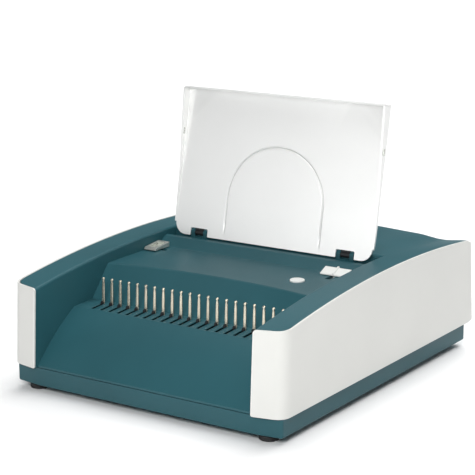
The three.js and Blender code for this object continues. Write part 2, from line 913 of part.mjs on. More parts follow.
// A small compression spring under the button.
function buttonSpring() {
  const turns = 3;
  const low = boardTop + 0.3;
  const high = buttonTop - buttonSkirt - 0.7;
  const radius = 5.5;
  const points = Array.from({ length: turns * 10 + 1 }, (_, i) => {
    const angle = (i / 10) * 2 * Math.PI;
    const height = low + 0.5 + ((high - low - 1) * i) / (turns * 10);
    return new THREE.Vector3(
      buttonX + radius * Math.cos(angle),
      buttonY + radius * Math.sin(angle),
      height,
    );
  });
  const wire = new THREE.Shape();
  wire.absarc(0, 0, 0.4, 0, 2 * Math.PI);
  const coil = new THREE.ExtrudeGeometry(wire, {
    extrudePath: new THREE.CatmullRomCurve3(points),
    steps: turns * 10,
    curveSegments: 3,
    bevelEnabled: false,
  });
  return piece("button_spring", coil, steel());
}

// The control board with its relay, chip and two capacitors, under the deck.
function controlBoard() {
  const sunk = boardTop - boardThickness / 3;
  const on = (x0, x1, y0, y1, height) =>
    block(boardX + x0, boardX + x1, boardY + y0, boardY + y1, sunk, boardTop + height);
  const plate = block(
    boardX - boardWidth / 2,
    boardX + boardWidth / 2,
    boardY - boardDepth / 2,
    boardY + boardDepth / 2,
    boardTop - boardThickness,
    boardTop,
  );
  const relay = on(-37, -17, -16, 12, 5);
  const chip = on(-9, -1, -22, -6, 4);
  const capacitors = [-25, -9].map((x) => rodZ(5, sunk, boardTop + 9, boardX + x, boardY + 24, 12));
  return piece("control_board", join(plate, relay, chip, ...capacitors), board());
}

function buttonSwitch() {
  const half = 3.4;
  const low = boardTop + seam;
  const plungerTop = buttonTop - buttonStem - buttonTravel - buttonSlack;
  const body = block(buttonX - half, buttonX + half, buttonY - half, buttonY + half, low, plungerTop - 2);
  const plunger = rodZ(1.6, low + 1, plungerTop, buttonX, buttonY, 12);
  return piece("button_switch", join(body, plunger), black());
}

// The silver frame that slides sideways to set the sheet's edge.
function edgeGuide() {
  const low = deckRear + 0.9;
  const rearTop = low + guideHeight;
  const frontTop = rearTop - 3;
  const rear = guideFront + guideLength;
  const x0 = -armInner + guideToArm;
  const side = outlineOf([
    [guideFront, low],
    [rear, low],
    [rear, rearTop],
    [guideFront + 3, frontTop],
    [guideFront, frontTop - 3],
  ]);
  const body = slabX(side, x0, x0 + guideWidth);
  const window = slabZ(
    roundedOutline(x0 + 4, x0 + guideWidth - 4, guideFront + 6, rear - 6, 2.5),
    low + 2,
    rearTop + 5,
    4,
  );
  const tongue = block(
    tongueX,
    tongueX + guideTongue,
    tongueY,
    tongueY + guideTongue,
    deckTop - 5,
    low + 1,
  );
  return piece("edge_guide", join(cut(body, window), tongue), steel());
}

// ---- The lid, drawn upright in its own frame with the hinge axis at the origin ----

const lidFront = -lidFaceOffset;
const lidBack = lidFront + lidWall;

// The front-view outline of the lid, with round lower corners and a notch round each bracket.
function lidOutline() {
  const notch = bracketWidth / 2 + 1;
  const notchTop = bracketRadius + notchGap;
  const low = -lidTail;
  const shape = new THREE.Shape();
  shape.moveTo(-lidHalf + lidCorner, low);
  [-hingeX, hingeX].forEach((x) => {
    shape.lineTo(x - notch, low);
    shape.lineTo(x - notch, notchTop);
    shape.lineTo(x + notch, notchTop);
    shape.lineTo(x + notch, low);
  });
  shape.lineTo(lidHalf - lidCorner, low);
  shape.absarc(lidHalf - lidCorner, low + lidCorner, lidCorner, -Math.PI / 2, 0);
  shape.lineTo(lidHalf, lidLength);
  shape.lineTo(-lidHalf, lidLength);
  shape.lineTo(-lidHalf, low + lidCorner);
  shape.absarc(-lidHalf + lidCorner, low + lidCorner, lidCorner, Math.PI, 1.5 * Math.PI);
  return shape;
}

// The arch pressed into the lid, as the groove between two arches.
function archBand() {
  const arch = (radius, foot) => {
    const shape = new THREE.Shape();
    shape.moveTo(radius, foot);
    shape.lineTo(radius, archCentre);
    shape.absarc(0, archCentre, radius, 0, Math.PI);
    shape.lineTo(-radius, foot);
    shape.closePath();
    return shape;
  };
  const foot = 2;
  const outer = slabY(arch(archRadius + archGroove / 2, foot), lidFront - 1, lidFront + archDepth, 28);
  const innerArch = arch(archRadius - archGroove / 2, foot - 5);
  const inner = slabY(innerArch, lidFront - 2, lidFront + archDepth + 1, 28);
  return cut(outer, inner);
}

// The side lips: full depth at the free edge, thin towards the hinge, with a small snap tab.
function lidSideLips() {
  const lip = slabX(
    outlineOf([
      [lidFront - lidSideLip, lidCorner + 4],
      [lidBack, lidCorner - 4],
      [lidBack, lidLength],
      [lidFront - lidLip, lidLength],
      [lidFront - lidSideLip, lidLipTaperEnd],
    ]),
    lidHalf - lidLipWall,
    lidHalf,
  );
  const tab = block(
    lidHalf - lidLipWall - 1,
    lidHalf + 1.6,
    lidFront - 6,
    lidFront - 3,
    tabPlace - tabLength / 2,
    tabPlace + tabLength / 2,
  );
  const side = join(lip, tab);
  return [side, mirrored(side)];
}

function lidPanel() {
  const sheet = slabY(lidOutline(), lidFront, lidBack, 6);
  const topLip = block(-lidHalf, lidHalf, lidFront - lidLip, lidBack, lidLength - lidLipWall, lidLength);
  const webTop = bracketRadius + notchGap + knuckleWeb;
  const knuckles = [-hingeX, hingeX].flatMap((x) => [
    rodX(knuckleRadius, x - knuckleWidth / 2, x + knuckleWidth / 2, 0, 0, 16),
    block(x - knuckleWidth / 2, x + knuckleWidth / 2, lidFront + 0.4, lidBack, 0, webTop),
  ]);
  const pinBore = rodX(hingePinRadius + 0.2, -lidHalf, lidHalf, 0, 0, 12);
  const body = cut(join(sheet, topLip, ...lidSideLips(), ...knuckles), archBand());
  return piece("lid_panel", cut(body, pinBore), white());
}

function lidGroup() {
  const group = new THREE.Group();
  group.position.set(0, hingeY, hingeZ);
  group.rotation.x = -lidLean;
  group.add(lidPanel());
  return group;
}

// A bracket with two ears round the hinge pin, standing on the gutter shelf.
function hingeBrackets() {
  const ear = bracketRadius;
  const shape = new THREE.Shape();
  shape.moveTo(hingeY - ear, shelfTop + seam);
  shape.lineTo(hingeY + ear, shelfTop + seam);
  shape.lineTo(hingeY + ear, hingeZ);
  shape.absarc(hingeY, hingeZ, ear, 0, Math.PI);
  shape.closePath();
  const x0 = hingeX - bracketWidth / 2;
  const body = slabX(shape, x0, x0 + bracketWidth, 8);
  const gapHalf = knuckleWidth / 2 + seam;
  const gapLow = hingeZ - knuckleRadius - knuckleGap;
  const gap = block(hingeX - gapHalf, hingeX + gapHalf, hingeY - 20, hingeY + 20, gapLow, hingeZ + 20);
  const bore = rodX(hingePinRadius + 0.2, x0 - 1, x0 + bracketWidth + 1, hingeY, hingeZ, 12);
  return pair("hinge_bracket_right", "hinge_bracket_left", cut(body, gap, bore), teal);
}

function hingePins() {
  const x0 = hingeX - bracketWidth / 2 + 0.5;
  const pin = rodX(hingePinRadius, x0, x0 + bracketWidth - 1, hingeY, hingeZ, 12);
  return pair("hinge_pin_right", "hinge_pin_left", pin, steel);
}

// ---- The punch ----

function punchWindows(y0, y1, clearance) {
  const w = punchHoleWidth / 2 + clearance;
  const h = punchHoleHeight / 2 + clearance;
  return toothX.map((x) => block(x - w, x + w, y0, y1, punchZ - h, punchZ + h));
}

function punchPlates() {
  const low = plateTop + 4;
  const high = deckRear - shellWall - 8 - seam;
  const die = block(-punchHalf, punchHalf, throatFront - plateWall, throatFront, low, high);
  const guide = block(-punchHalf, punchHalf, throatRear, throatRear + plateWall, low, high);
  return [
    piece("die_plate", cut(die, ...punchWindows(throatFront - 20, throatFront + 2, 0)), steel()),
    piece("guide_plate", cut(guide, ...punchWindows(throatRear - 2, throatRear + 20, 0)), steel()),
  ];
}

// The bar at the foot of the throat that the sheets stand on.
function sheetStop() {
  const y0 = throatFront + seam;
  const y1 = throatRear - seam;
  const top = punchZ - punchHoleHeight / 2 - 4;
  return piece("sheet_stop", block(-punchHalf, punchHalf, y0, y1, top - 8, top), darkSteel());
}

// The bar with 21 punch pins and the two yokes that the eccentrics drive.
function punchBar() {
  const tip = throatRear + 0.8;
  const barFront = throatRear + plateWall + 2 * eccentricity + punchEndGap;
  const barRear = barFront + 9;
  const yokeCentre = shaftY + eccentricity;
  const halfDepth = eccentricRadius + yokeClearance;
  const halfHeight = eccentricRadius + eccentricity + yokeClearance;
  const bar = block(-punchHalf + 8, punchHalf - 8, barFront, barRear, punchZ - 7, punchZ + 7);
  const w = punchHoleWidth / 2 - pinClearance;
  const h = punchHoleHeight / 2 - pinClearance;
  const pins = toothX.map((x) => block(x - w, x + w, tip, barFront + 1, punchZ - h, punchZ + h));
  const yokes = [-yokeX, yokeX].map((x) => {
    const y0 = yokeCentre - halfDepth;
    const y1 = yokeCentre + halfDepth;
    const z0 = punchZ - halfHeight;
    const z1 = punchZ + halfHeight;
    const x0 = x - yokeThickness / 2;
    const x1 = x + yokeThickness / 2;
    const outer = block(x0, x1, barRear - 1, y1 + yokeWall, z0 - yokeWall, z1 + yokeWall);
    return cut(outer, block(x0 - 1, x1 + 1, y0, y1, z0, z1));
  });
  return piece("punch_bar", join(bar, ...pins, ...yokes), steel());
}

function eccentrics() {
  const x0 = yokeX - yokeThickness / 2 - 1.5;
  const x1 = yokeX + yokeThickness / 2 + 1.5;
  const disc = rodX(eccentricRadius, x0, x1, shaftY + eccentricity, punchZ, 32);
  const bore = rodX(shaftRadius + runningGap, x0 - 1, x1 + 1, shaftY, punchZ);
  return pair("eccentric_right", "eccentric_left", cut(disc, bore), steel);
}

function camshaft() {
  const left = -frameX - frameWall - 4;
  const right = gearX + gearFace + 5;
  return piece("camshaft", rodX(shaftRadius, left, right, shaftY, punchZ), steel());
}

function shaftBearings() {
  const x0 = frameX - 2;
  const barrel = rodX(bushRadius, x0, frameX + frameWall + 1, shaftY, punchZ, 24);
  const outside = frameX + frameWall;
  const flange = rodX(bushRadius + 3, outside + seam, outside + 2.4, shaftY, punchZ, 24);
  const bore = rodX(shaftRadius + runningGap, x0 - 1, frameX + frameWall + 4, shaftY, punchZ);
  return pair("shaft_bearing_right", "shaft_bearing_left", cut(join(barrel, flange), bore), brass);
}

// The steel side frames, outside the drawer, that carry the plates and the shaft.
function sideFrames() {
  const rear = rearPanelY - shellWall - 12;
  const shape = outlineOf([
    [throatFront - 14, floorZ],
    [rear, floorZ],
    [rear, plateTop + 14],
    [motorY + motorRadius + 4, motorZ + motorRadius - 4],
    [motorY + 8, motorZ + motorRadius + 4],
    [shaftY + 24, frameTop],
    [throatFront - 6, frameTop - 8],
    [throatFront - 14, frameTop - 16],
  ]);
  const plate = slabX(shape, frameX, frameX + frameWall);
  const bore = rodX(bushRadius + runningGap, frameX - 5, frameX + 8, shaftY, punchZ, 24);
  const noseHole = rodX(motorNoseRadius + seam, frameX - 5, frameX + 8, motorY, motorZ, 20);
  return [
    piece("side_frame_right", cut(plate, bore, noseHole), darkSteel()),
    piece("side_frame_left", mirrored(cut(plate, bore)), darkSteel()),
  ];
}

// The plate between the side frames, above the drawer, that carries the motor and the power supply.
function mechanismPlate() {
  const plate = block(
    -punchHalf,
    punchHalf,
    throatRear + 6,
    rearPanelY - shellWall - 18,
    plateTop - plateThickness,
    plateTop,
  );
  return piece("mechanism_plate", plate, darkSteel());
}

// ---- Gears ----

// A spur gear outline about its own centre; phase turns the first tooth away from the +a direction.
function gearOutline(teeth, phase) {
  const pitchRadius = (gearModule * teeth) / 2;
  const tip = pitchRadius + gearModule * 0.8;
  const root = pitchRadius - gearModule * 1.1;
  const step = (2 * Math.PI) / teeth;
  const points = [];
  for (let i = 0; i < teeth; i += 1) {
    const angle = phase + i * step;
    [
      [root, -0.36],
      [tip, -0.13],
      [tip, 0.13],
      [root, 0.36],
    ].forEach(([r, share]) => {
      const a = angle + share * step;
      points.push([r * Math.cos(a), r * Math.sin(a)]);
    });
  }
  return outlineOf(points);
}

const camRadius = (gearModule * camTeeth) / 2;
const idlerRadius = (gearModule * idlerTeeth) / 2;
const pinionRadius = (gearModule * pinionTeeth) / 2;
const idlerReach = camRadius + idlerRadius;
const idlerY = shaftY + Math.sqrt(idlerReach * idlerReach - idlerDrop * idlerDrop);
const motorY = idlerY + idlerRadius + pinionRadius;
const idlerAngle = Math.atan2(-idlerDrop, idlerY - shaftY);

// A gear about the X axis at (y, z). Tooth outlines are drawn in (y, z).
function gearAt(teeth, phase, y, z, boreRadius, hubRadius) {
  const wheel = slabX(gearOutline(teeth, phase), gearX, gearX + gearFace, 1);
  const hub = rodX(hubRadius, gearX - 3, gearX + gearFace + 3, 0, 0, 20);
  const bore = rodX(boreRadius, gearX - 10, gearX + gearFace + 10, 0, 0, 20);
  return cut(join(wheel, hub), bore).translate(0, y, z);
}

function camGear() {
  const gear = gearAt(camTeeth, idlerAngle, shaftY, punchZ, shaftRadius + runningGap, 9);
  const windows = Array.from({ length: 5 }, (_, i) => {
    const angle = (i * 2 * Math.PI) / 5 + 0.3;
    const y = shaftY + 18 * Math.cos(angle);
    const z = punchZ + 18 * Math.sin(angle);
    return rodX(5.5, gearX - 5, gearX + gearFace + 5, y, z, 10);
  });
  return piece("cam_gear", cut(gear, ...windows), white());
}

function idlerGear() {
  const step = (2 * Math.PI) / idlerTeeth;
  const towardsCam = idlerAngle + Math.PI;
  const phase = towardsCam + step / 2;
  const gear = gearAt(idlerTeeth, phase, idlerY, idlerZ, axleRadius + runningGap, 6);
  return piece("idler_gear", gear, white());
}

function idlerAxle() {
  const x0 = frameX + frameWall + seam;
  return piece("idler_axle", rodX(axleRadius, x0, gearX + gearFace + 6, idlerY, idlerZ, 16), steel());
}

// The idler's tooth that faces the motor sets how the pinion is turned.
function pinionPhase() {
  const idlerStep = (2 * Math.PI) / idlerTeeth;
  const pinionStep = (2 * Math.PI) / pinionTeeth;
  const firstTooth = idlerAngle + Math.PI + idlerStep / 2;
  const offset = -firstTooth / idlerStep;
  const share = offset - Math.round(offset);
  return Math.PI + pinionStep / 2 + share * pinionStep;
}

function motorPinion() {
  const wheel = slabX(gearOutline(pinionTeeth, pinionPhase()), gearX - 1, gearX + gearFace + 1, 1);
  const shaft = rodX(motorShaftRadius, frameX + frameWall + 1.4, gearX + gearFace + 3, 0, 0, 14);
  return piece("motor_pinion", join(wheel, shaft).translate(0, motorY, motorZ), brass());
}

function motor() {
  const face = frameX - seam;
  const can = rodX(motorRadius, face - motorLength, face, motorY, motorZ, 28);
  const nose = rodX(motorNoseRadius, face - 1, frameX + frameWall + 1, motorY, motorZ, 20);
  const cap = rodX(motorRadius - 3, face - motorLength - 5, face - motorLength + 1, motorY, motorZ, 24);
  return piece("motor", join(can, nose, cap), darkSteel());
}

// The saddle on the mechanism plate that the far end of the motor lies in.
function motorCradle() {
  const x0 = frameX - seam - motorLength + 6;
  const low = plateTop + seam;
  const half = motorRadius + 5;
  const saddle = block(x0, x0 + 8, motorY - half, motorY + half, low, motorZ - 4);
  const seat = rodX(motorRadius + seam, x0 - 5, x0 + 15, motorY, motorZ, 28);
  const foot = block(x0 - 8, x0 + 16, motorY - half, motorY + half, low, low + 2.5);
  return piece("motor_cradle", cut(join(saddle, foot), seat), darkSteel());
}

// ---- Power ----

// The transformer, with its winding round the core.
function powerSupply() {
  const top = floorZ + coreHeight;
  const x0 = supplyX - coreHalfWidth;
  const x1 = supplyX + coreHalfWidth;
  const y0 = supplyY - coreHalfDepth;
  const y1 = supplyY + coreHalfDepth;
  const outline = roundedOutline(
    x0 + windingInset,
    x1 - windingInset,
    y0 - windingProud,
    y1 + windingProud,
    windingCorner,
  );
  const winding = slabZ(outline, floorZ + windingMargin, top - windingMargin, 4);
  return piece("power_supply", join(block(x0, x1, y0, y1, floorZ, top), winding), darkSteel());
}

// A body through the rear panel with a thin flange outside it.
function panelFitting(x, halfX, halfZ, depth, proud) {
  const rear = rearPanelY + proud;
  const body = block(x - halfX, x + halfX, rear - depth, rear, inletZ - halfZ, inletZ + halfZ);
  const w = halfX + flangeRim;
  const h = halfZ + flangeRim;
  const flange = block(x - w, x + w, rearPanelY + seam, rear, inletZ - h, inletZ + h);
  return join(body, flange);
}

function powerInlet() {
  const rear = rearPanelY + 2;
  const mouth = roundedOutline(
    inletX - inletHalfWidth + 2.5,
    inletX + inletHalfWidth - 2.5,
    inletZ - inletHalfHeight + 2,
    inletZ + inletHalfHeight - 2,
    3,
  );
  const cavity = slabY(mouth, rear - 18, rear + 5, 4);
  const blades = [-7, 0, 7].map((dx) => {
    const z = inletZ + (dx === 0 ? 3 : -3);
    return block(inletX + dx - 1, inletX + dx + 1, rear - 20, rear - 4, z - 2, z + 2);
  });
  const fitting = panelFitting(inletX, inletHalfWidth, inletHalfHeight, inletDepth, 2);
  return piece("power_inlet", join(cut(fitting, cavity), ...blades), black());
}

function switchFrame() {
  const fitting = panelFitting(switchX, switchHalfWidth, switchHalfHeight, 18, 1.8);
  const w = switchHalfWidth - 2.5;
  const h = switchHalfHeight - 1.6;
  const well = block(switchX - w, switchX + w, rearPanelY - 12.2, rearPanelY + 7, inletZ - h, inletZ + h);
  return piece("switch_frame", cut(fitting, well), black());
}

// The rocker, tipped to its off side. It turns about a line across the frame.
function powerRocker() {
  const reach = 9.3;
  const wing = 8.4;
  const shape = new THREE.Shape();
  shape.moveTo(-1.5, -3);
  shape.lineTo(reach, -wing);
  shape.quadraticCurveTo(reach - 3, 0, reach, wing);
  shape.lineTo(-1.5, 3);
  shape.closePath();
  const half = switchHalfWidth - 3;
  const rocker = piece("power_rocker", slabX(shape, switchX - half, switchX + half, 6), black());
  rocker.position.set(0, rearPanelY - rockerBehindPanel, inletZ);
  rocker.rotation.x = -rockerTilt;
  return rocker;
}

// ---- The chip drawer ----

function chipDrawer() {
  const top = drawerBottom + drawerHeight;
  const tub = block(-drawerHalfWidth, drawerHalfWidth, drawerFrontY, drawerRear, drawerBottom, top);
  const hollow = block(
    -drawerHalfWidth + drawerWall,
    drawerHalfWidth - drawerWall,
    drawerFrontY + drawerWall,
    drawerRear - drawerWall,
    drawerBottom + drawerWall,
    top + 1,
  );
  const face = block(
    -shellOuter + 1,
    shellOuter - 1,
    drawerRear - shellWall,
    drawerRear,
    drawerBottom - 1.5,
    drawerFaceTop,
  );
  const pull = slabX(
    outlineOf([
      [drawerRear - 1, drawerBottom + 9],
      [drawerRear + 7, drawerBottom + 6],
      [drawerRear + 8, drawerBottom + 9],
      [drawerRear - 1, drawerBottom + 17],
    ]),
    -45,
    45,
  );
  return piece("chip_drawer", join(cut(join(tub, face), hollow), pull), teal());
}

function drawerRails() {
  const x0 = drawerHalfWidth + 0.8;
  const y0 = drawerFrontY + 8;
  const y1 = drawerRear - 22;
  const upright = block(frameX - 3.4, frameX - 0.6, y0, y1, drawerBottom - 6, drawerBottom + 16);
  const ledge = block(x0 - 8, frameX - 1, y0, y1, drawerBottom - 3, drawerBottom - 0.5);
  return pair("drawer_rail_right", "drawer_rail_left", join(upright, ledge), steel);
}

// ---- The whole machine ----

const machine = new THREE.Group();
machine.add(
  basePan(),
  ...sidePanels(),
  upperHousing(),
  documentRamp(),
  combLedge(),
  deckCover(),
  rearPanel(),
  ...rearScrews(),
  ...feet(),
  tineRake(),
  rakeSupport(),
  hookBar(),
  ...openerLinks(),
  openerLever(),
  slotShutter(),
  startButton(),
  buttonSpring(),
  controlBoard(),
  buttonSwitch(),
  edgeGuide(),
  lidGroup(),
  ...hingeBrackets(),
  ...hingePins(),
  ...punchPlates(),
  sheetStop(),
  punchBar(),
  ...eccentrics(),
  camshaft(),
  ...shaftBearings(),
  ...sideFrames(),
  mechanismPlate(),
  camGear(),
  idlerGear(),
  idlerAxle(),
  motorPinion(),
  motor(),
  motorCradle(),
  powerSupply(),
  powerInlet(),
  switchFrame(),
  powerRocker(),
  chipDrawer(),
  ...drawerRails(),
);
machine.position.y = -bodyDepth / 2;

const model = new THREE.Group();
model.add(machine);

export default model;
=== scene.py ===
import json
import math

import bmesh
import bpy
from mathutils import Matrix, Vector


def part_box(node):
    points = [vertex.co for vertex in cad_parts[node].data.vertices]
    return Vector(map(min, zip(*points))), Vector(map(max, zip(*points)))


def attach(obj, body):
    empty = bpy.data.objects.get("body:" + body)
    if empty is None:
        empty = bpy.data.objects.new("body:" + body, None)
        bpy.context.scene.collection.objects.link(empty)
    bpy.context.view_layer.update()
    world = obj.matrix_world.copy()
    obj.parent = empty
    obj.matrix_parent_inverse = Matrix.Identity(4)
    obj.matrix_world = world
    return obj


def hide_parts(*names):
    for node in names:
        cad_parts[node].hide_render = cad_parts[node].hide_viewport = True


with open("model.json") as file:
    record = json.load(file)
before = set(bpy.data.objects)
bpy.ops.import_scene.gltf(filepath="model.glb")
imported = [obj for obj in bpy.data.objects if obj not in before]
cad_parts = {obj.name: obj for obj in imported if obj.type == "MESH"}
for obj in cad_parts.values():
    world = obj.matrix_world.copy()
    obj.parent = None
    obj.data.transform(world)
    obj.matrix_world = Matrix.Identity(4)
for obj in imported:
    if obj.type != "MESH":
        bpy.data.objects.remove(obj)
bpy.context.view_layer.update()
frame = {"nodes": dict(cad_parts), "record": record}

MM = 0.001
BODY_OF = {node: body for body, nodes in frame["record"]["behaviour"]["bodies"].items() for node in nodes}
SLOT_OF = {part["node"]: part["material_slot"] for part in frame["record"]["subparts"]}
MATERIALS = {}

# ---- Sizes of the body ----

BODY_WIDTH = 425
BODY_DEPTH = 512
ARM_WIDTH = 43
BASE_TOP = 33
FOOT_HEIGHT = 8
ARM_FRONT_TOP = 140.4
ARM_REAR_TOP = 154
ARM_RISE = 17
FRONT_LEAN = 6.3
REAR_LEAN = 9.4
ARM_TOE = 8.6
CORNER = 16
WALL = 3
SEAM = 0.4
TOP_RECESS = 0.8
BASE_INSET = 4.7
BASE_CORNER = 4
BASE_REAR = 499
CROWN_RISE = 5
VALLEY = 3.5
HINGE_Y = 311.1
HINGE_Z = 160.7
GUTTER_REAR = 320.6
THROAT_FRONT = 299.3
THROAT_REAR = 304.6
SHELF_TOP = 149.7
REAR_PANEL_Y = 500

HALF = BODY_WIDTH / 2
ARM_INNER = HALF - ARM_WIDTH
SHELL_OUTER = HALF - WALL - SEAM
DECK_HALF = ARM_INNER - SEAM
TOP_REAR_Y = BODY_DEPTH - REAR_LEAN
REAR_EDGE = TOP_REAR_Y - 2
EDGE_ROLL = 4


def at(x, y, z):
    return Vector((x, y - BODY_DEPTH / 2, z)) * MM


def lean(z):
    return FRONT_LEAN * (z - BASE_TOP) / (ARM_FRONT_TOP - BASE_TOP)


def crown(y):
    t = max(0, (y - FRONT_LEAN) / (TOP_REAR_Y - FRONT_LEAN))
    return ARM_FRONT_TOP + (ARM_REAR_TOP - ARM_FRONT_TOP) * t + 4 * ARM_RISE * t * (1 - t)


def spread(a, b, count):
    """count + 1 even steps from a to b."""
    return [a + (b - a) * i / count for i in range(count + 1)]


# ---- Materials ----

EDGE_GAIN = 1.8
EDGE_LIFT = 0.03
# How dark the painted shade in hollows gets, as a share of the colour.
PAINTED_SHADE_SHARE = 0.3
GRAIN_DEPTH = 0.00012


def material(slot, color, roughness, metallic=0.0, **look):
    """A procedural finish: slow colour drift, fine grain, paler convex edges and painted shade that darkens
    the hollows.
    """
    mat = bpy.data.materials.new(slot + "_finish")
    mat.use_nodes = True
    nodes = mat.node_tree.nodes
    link = mat.node_tree.links.new
    shader = nodes["Principled BSDF"]
    shader.inputs["Metallic"].default_value = metallic
    shader.inputs["Specular IOR Level"].default_value = look.get("specular", 0.5)
    shader.inputs["Anisotropic"].default_value = look.get("anisotropic", 0.0)
    place = nodes.new("ShaderNodeTexCoord")
    mapping = nodes.new("ShaderNodeMapping")
    mapping.inputs["Scale"].default_value = look.get("stretch", (1, 1, 1))
    link(place.outputs["Object"], mapping.inputs["Vector"])

    def noise(scale, detail, source):
        texture = nodes.new("ShaderNodeTexNoise")
        texture.inputs["Scale"].default_value = scale
        texture.inputs["Detail"].default_value = detail
        link(source, texture.inputs["Vector"])
        return texture.outputs["Fac"]

    def ramp(source, low, high, *stops):
        node = nodes.new("ShaderNodeValToRGB")
        node.color_ramp.elements[0].position = low
        node.color_ramp.elements[1].position = high
        node.color_ramp.elements[0].color = stops[0]
        node.color_ramp.elements[1].color = stops[1]
        link(source, node.inputs["Fac"])
        return node.outputs["Color"]

    drift = look.get("drift", 0.08)
    darker = tuple(c * (1 - drift) for c in color) + (1,)
    lighter = tuple(min(1, c * (1 + drift)) for c in color) + (1,)
    slow = noise(look.get("drift_scale", 9), 4, place.outputs["Object"])
    body_color = ramp(slow, 0.35, 0.65, darker, lighter)
    edge = nodes.new("ShaderNodeNewGeometry").outputs["Pointiness"]
    # Convex edges (high pointiness) are mixed towards a paler copy of the colour.
    wear = look.get("wear", 0.12)
    edge_mask = ramp(edge, 0.52, 0.6, (0, 0, 0, 1), (wear, wear, wear, 1))
    edge_tone = tuple(min(1, c * EDGE_GAIN + EDGE_LIFT) for c in color)
    mix = nodes.new("ShaderNodeMix")
    mix.data_type = "RGBA"
    mix.inputs["B"].default_value = edge_tone + (1,)
    link(edge_mask, mix.inputs["Factor"])
    link(body_color, mix.inputs["A"])
    # Painted shade: hollows (low pointiness) are mixed towards a dark copy of the colour, standing in for
    # shade in creases and grooves.
    shade = look.get("cavity", 0.25)
    cavity_mask = ramp(edge, 0.44, 0.49, (shade, shade, shade, 1), (0, 0, 0, 1))
    hollow = nodes.new("ShaderNodeMix")
    hollow.data_type = "RGBA"
    hollow.inputs["B"].default_value = tuple(c * PAINTED_SHADE_SHARE for c in color) + (1,)
    link(cavity_mask, hollow.inputs["Factor"])
    link(mix.outputs["Result"], hollow.inputs["A"])
    link(hollow.outputs["Result"], shader.inputs["Base Color"])
    fine = noise(look.get("grain", 1800), 3, mapping.outputs["Vector"])
    spread_of = look.get("roughness_spread", 0.06)
    low = max(0.02, roughness - spread_of)
    high = min(1, roughness + spread_of)
    link(ramp(fine, 0.3, 0.7, (low, low, low, 1), (high, high, high, 1)), shader.inputs["Roughness"])
    bump = nodes.new("ShaderNodeBump")
    bump.inputs["Strength"].default_value = look.get("bump", 0.12)
    bump.inputs["Distance"].default_value = GRAIN_DEPTH
    link(fine, bump.inputs["Height"])
    link(bump.outputs["Normal"], shader.inputs["Normal"])
    MATERIALS[slot] = mat


material(
    "teal_plastic", (0.022, 0.092, 0.111), 0.38,
    specular=0.24, drift=0.05, grain=2600, bump=0.25, wear=0.06,
)
material("cream_panel", (0.7, 0.7, 0.67), 0.4, 0.1, drift=0.015, grain=1500, bump=0.06, wear=0.2)
# The lid gets strong painted shade in its hollows, so the pressed arch groove reads dark.
material(
    "lid_white", (0.92, 0.92, 0.905), 0.38, 0.4,
    drift=0.012, grain=1500, bump=0.05, wear=0.1, cavity=0.75,
)
material("white_plastic", (0.82, 0.83, 0.8), 0.35, drift=0.02, grain=2200, bump=0.1)
material("gear_plastic", (0.72, 0.69, 0.58), 0.5, drift=0.05, bump=0.2)
material("rubber_black", (0.012, 0.012, 0.013), 0.75, drift=0.2, drift_scale=60, bump=0.6, grain=900)
material("black_plastic", (0.014, 0.015, 0.017), 0.42, drift=0.1, bump=0.4, grain=1300)
material(
    "comb_steel", (0.62, 0.56, 0.45), 0.3, 0.85,
    drift=0.1, drift_scale=60, stretch=(8, 8, 1), grain=500, bump=0.2, roughness_spread=0.12,
)
material(
    "guide_silver", (0.6, 0.62, 0.57), 0.28, 0.7,
    drift=0.06, drift_scale=80, stretch=(10, 1, 10), grain=500, bump=0.12,
)
material(
    "bright_steel", (0.56, 0.56, 0.54), 0.28, 1.0,
    drift=0.08, drift_scale=40, stretch=(1, 10, 10), grain=400, bump=0.2, anisotropic=0.4,
)
material("dark_steel", (0.02, 0.021, 0.023), 0.5, 0.4, drift=0.15, drift_scale=50, bump=0.3, wear=0.3)
material("brass", (0.66, 0.46, 0.17), 0.3, 1.0, drift=0.1, drift_scale=60, stretch=(1, 12, 12), grain=400)
material("board_green", (0.02, 0.12, 0.05), 0.4, drift=0.2, drift_scale=120, bump=0.3, grain=900)

# ---- Making pieces ----

WELD = 0.02
CAD_WELD = 0.001
FLAT_WITHIN = 0.6
REFINED_SEGMENTS = 2
REFINED_ANGLE = 30


def weighted(obj):
    """Smooth shading that keeps large flat faces flat."""
    for polygon in obj.data.polygons:
        polygon.use_smooth = True
    normals = obj.modifiers.new("weighted_normals", "WEIGHTED_NORMAL")
    normals.keep_sharp = True
    normals.weight = 80


def bevel(obj, width, segments, angle):
    edges = obj.modifiers.new("eased_edges", "BEVEL")
    edges.width = width * MM
    edges.segments = segments
    edges.limit_method = "ANGLE"
    edges.angle_limit = math.radians(angle)
    edges.miter_outer = "MITER_ARC"
    edges.use_clamp_overlap = True


def thicken(obj, wall):
    shell = obj.modifiers.new("wall", "SOLIDIFY")
    shell.thickness = wall * MM
    shell.offset = -1
    shell.use_even_offset = True
    shell.use_quality_normals = True


def bake_modifiers(obj):
    """Puts what the modifiers make into the mesh itself."""
    graph = bpy.context.evaluated_depsgraph_get()
    mesh = bpy.data.meshes.new_from_object(obj.evaluated_get(graph))
    old = obj.data
    obj.modifiers.clear()
    obj.data = mesh
    bpy.data.meshes.remove(old)


def object_of(name, bm, recalculate=True):
    bmesh.ops.remove_doubles(bm, verts=bm.verts, dist=WELD * MM)
    if recalculate:
        bmesh.ops.recalc_face_normals(bm, faces=bm.faces)
    mesh = bpy.data.meshes.new(name)
    bm.to_mesh(mesh)
    bm.free()
    obj = bpy.data.objects.new(name, mesh)
    bpy.context.scene.collection.objects.link(obj)
    return obj


def stands_for(obj, *nodes):
    """obj takes the place, body and finish of CAD nodes."""
    slot = SLOT_OF[nodes[0]]
    obj.data.materials.clear()
    obj.data.materials.append(MATERIALS[slot])
    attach(obj, BODY_OF[nodes[0]])
    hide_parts(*nodes)


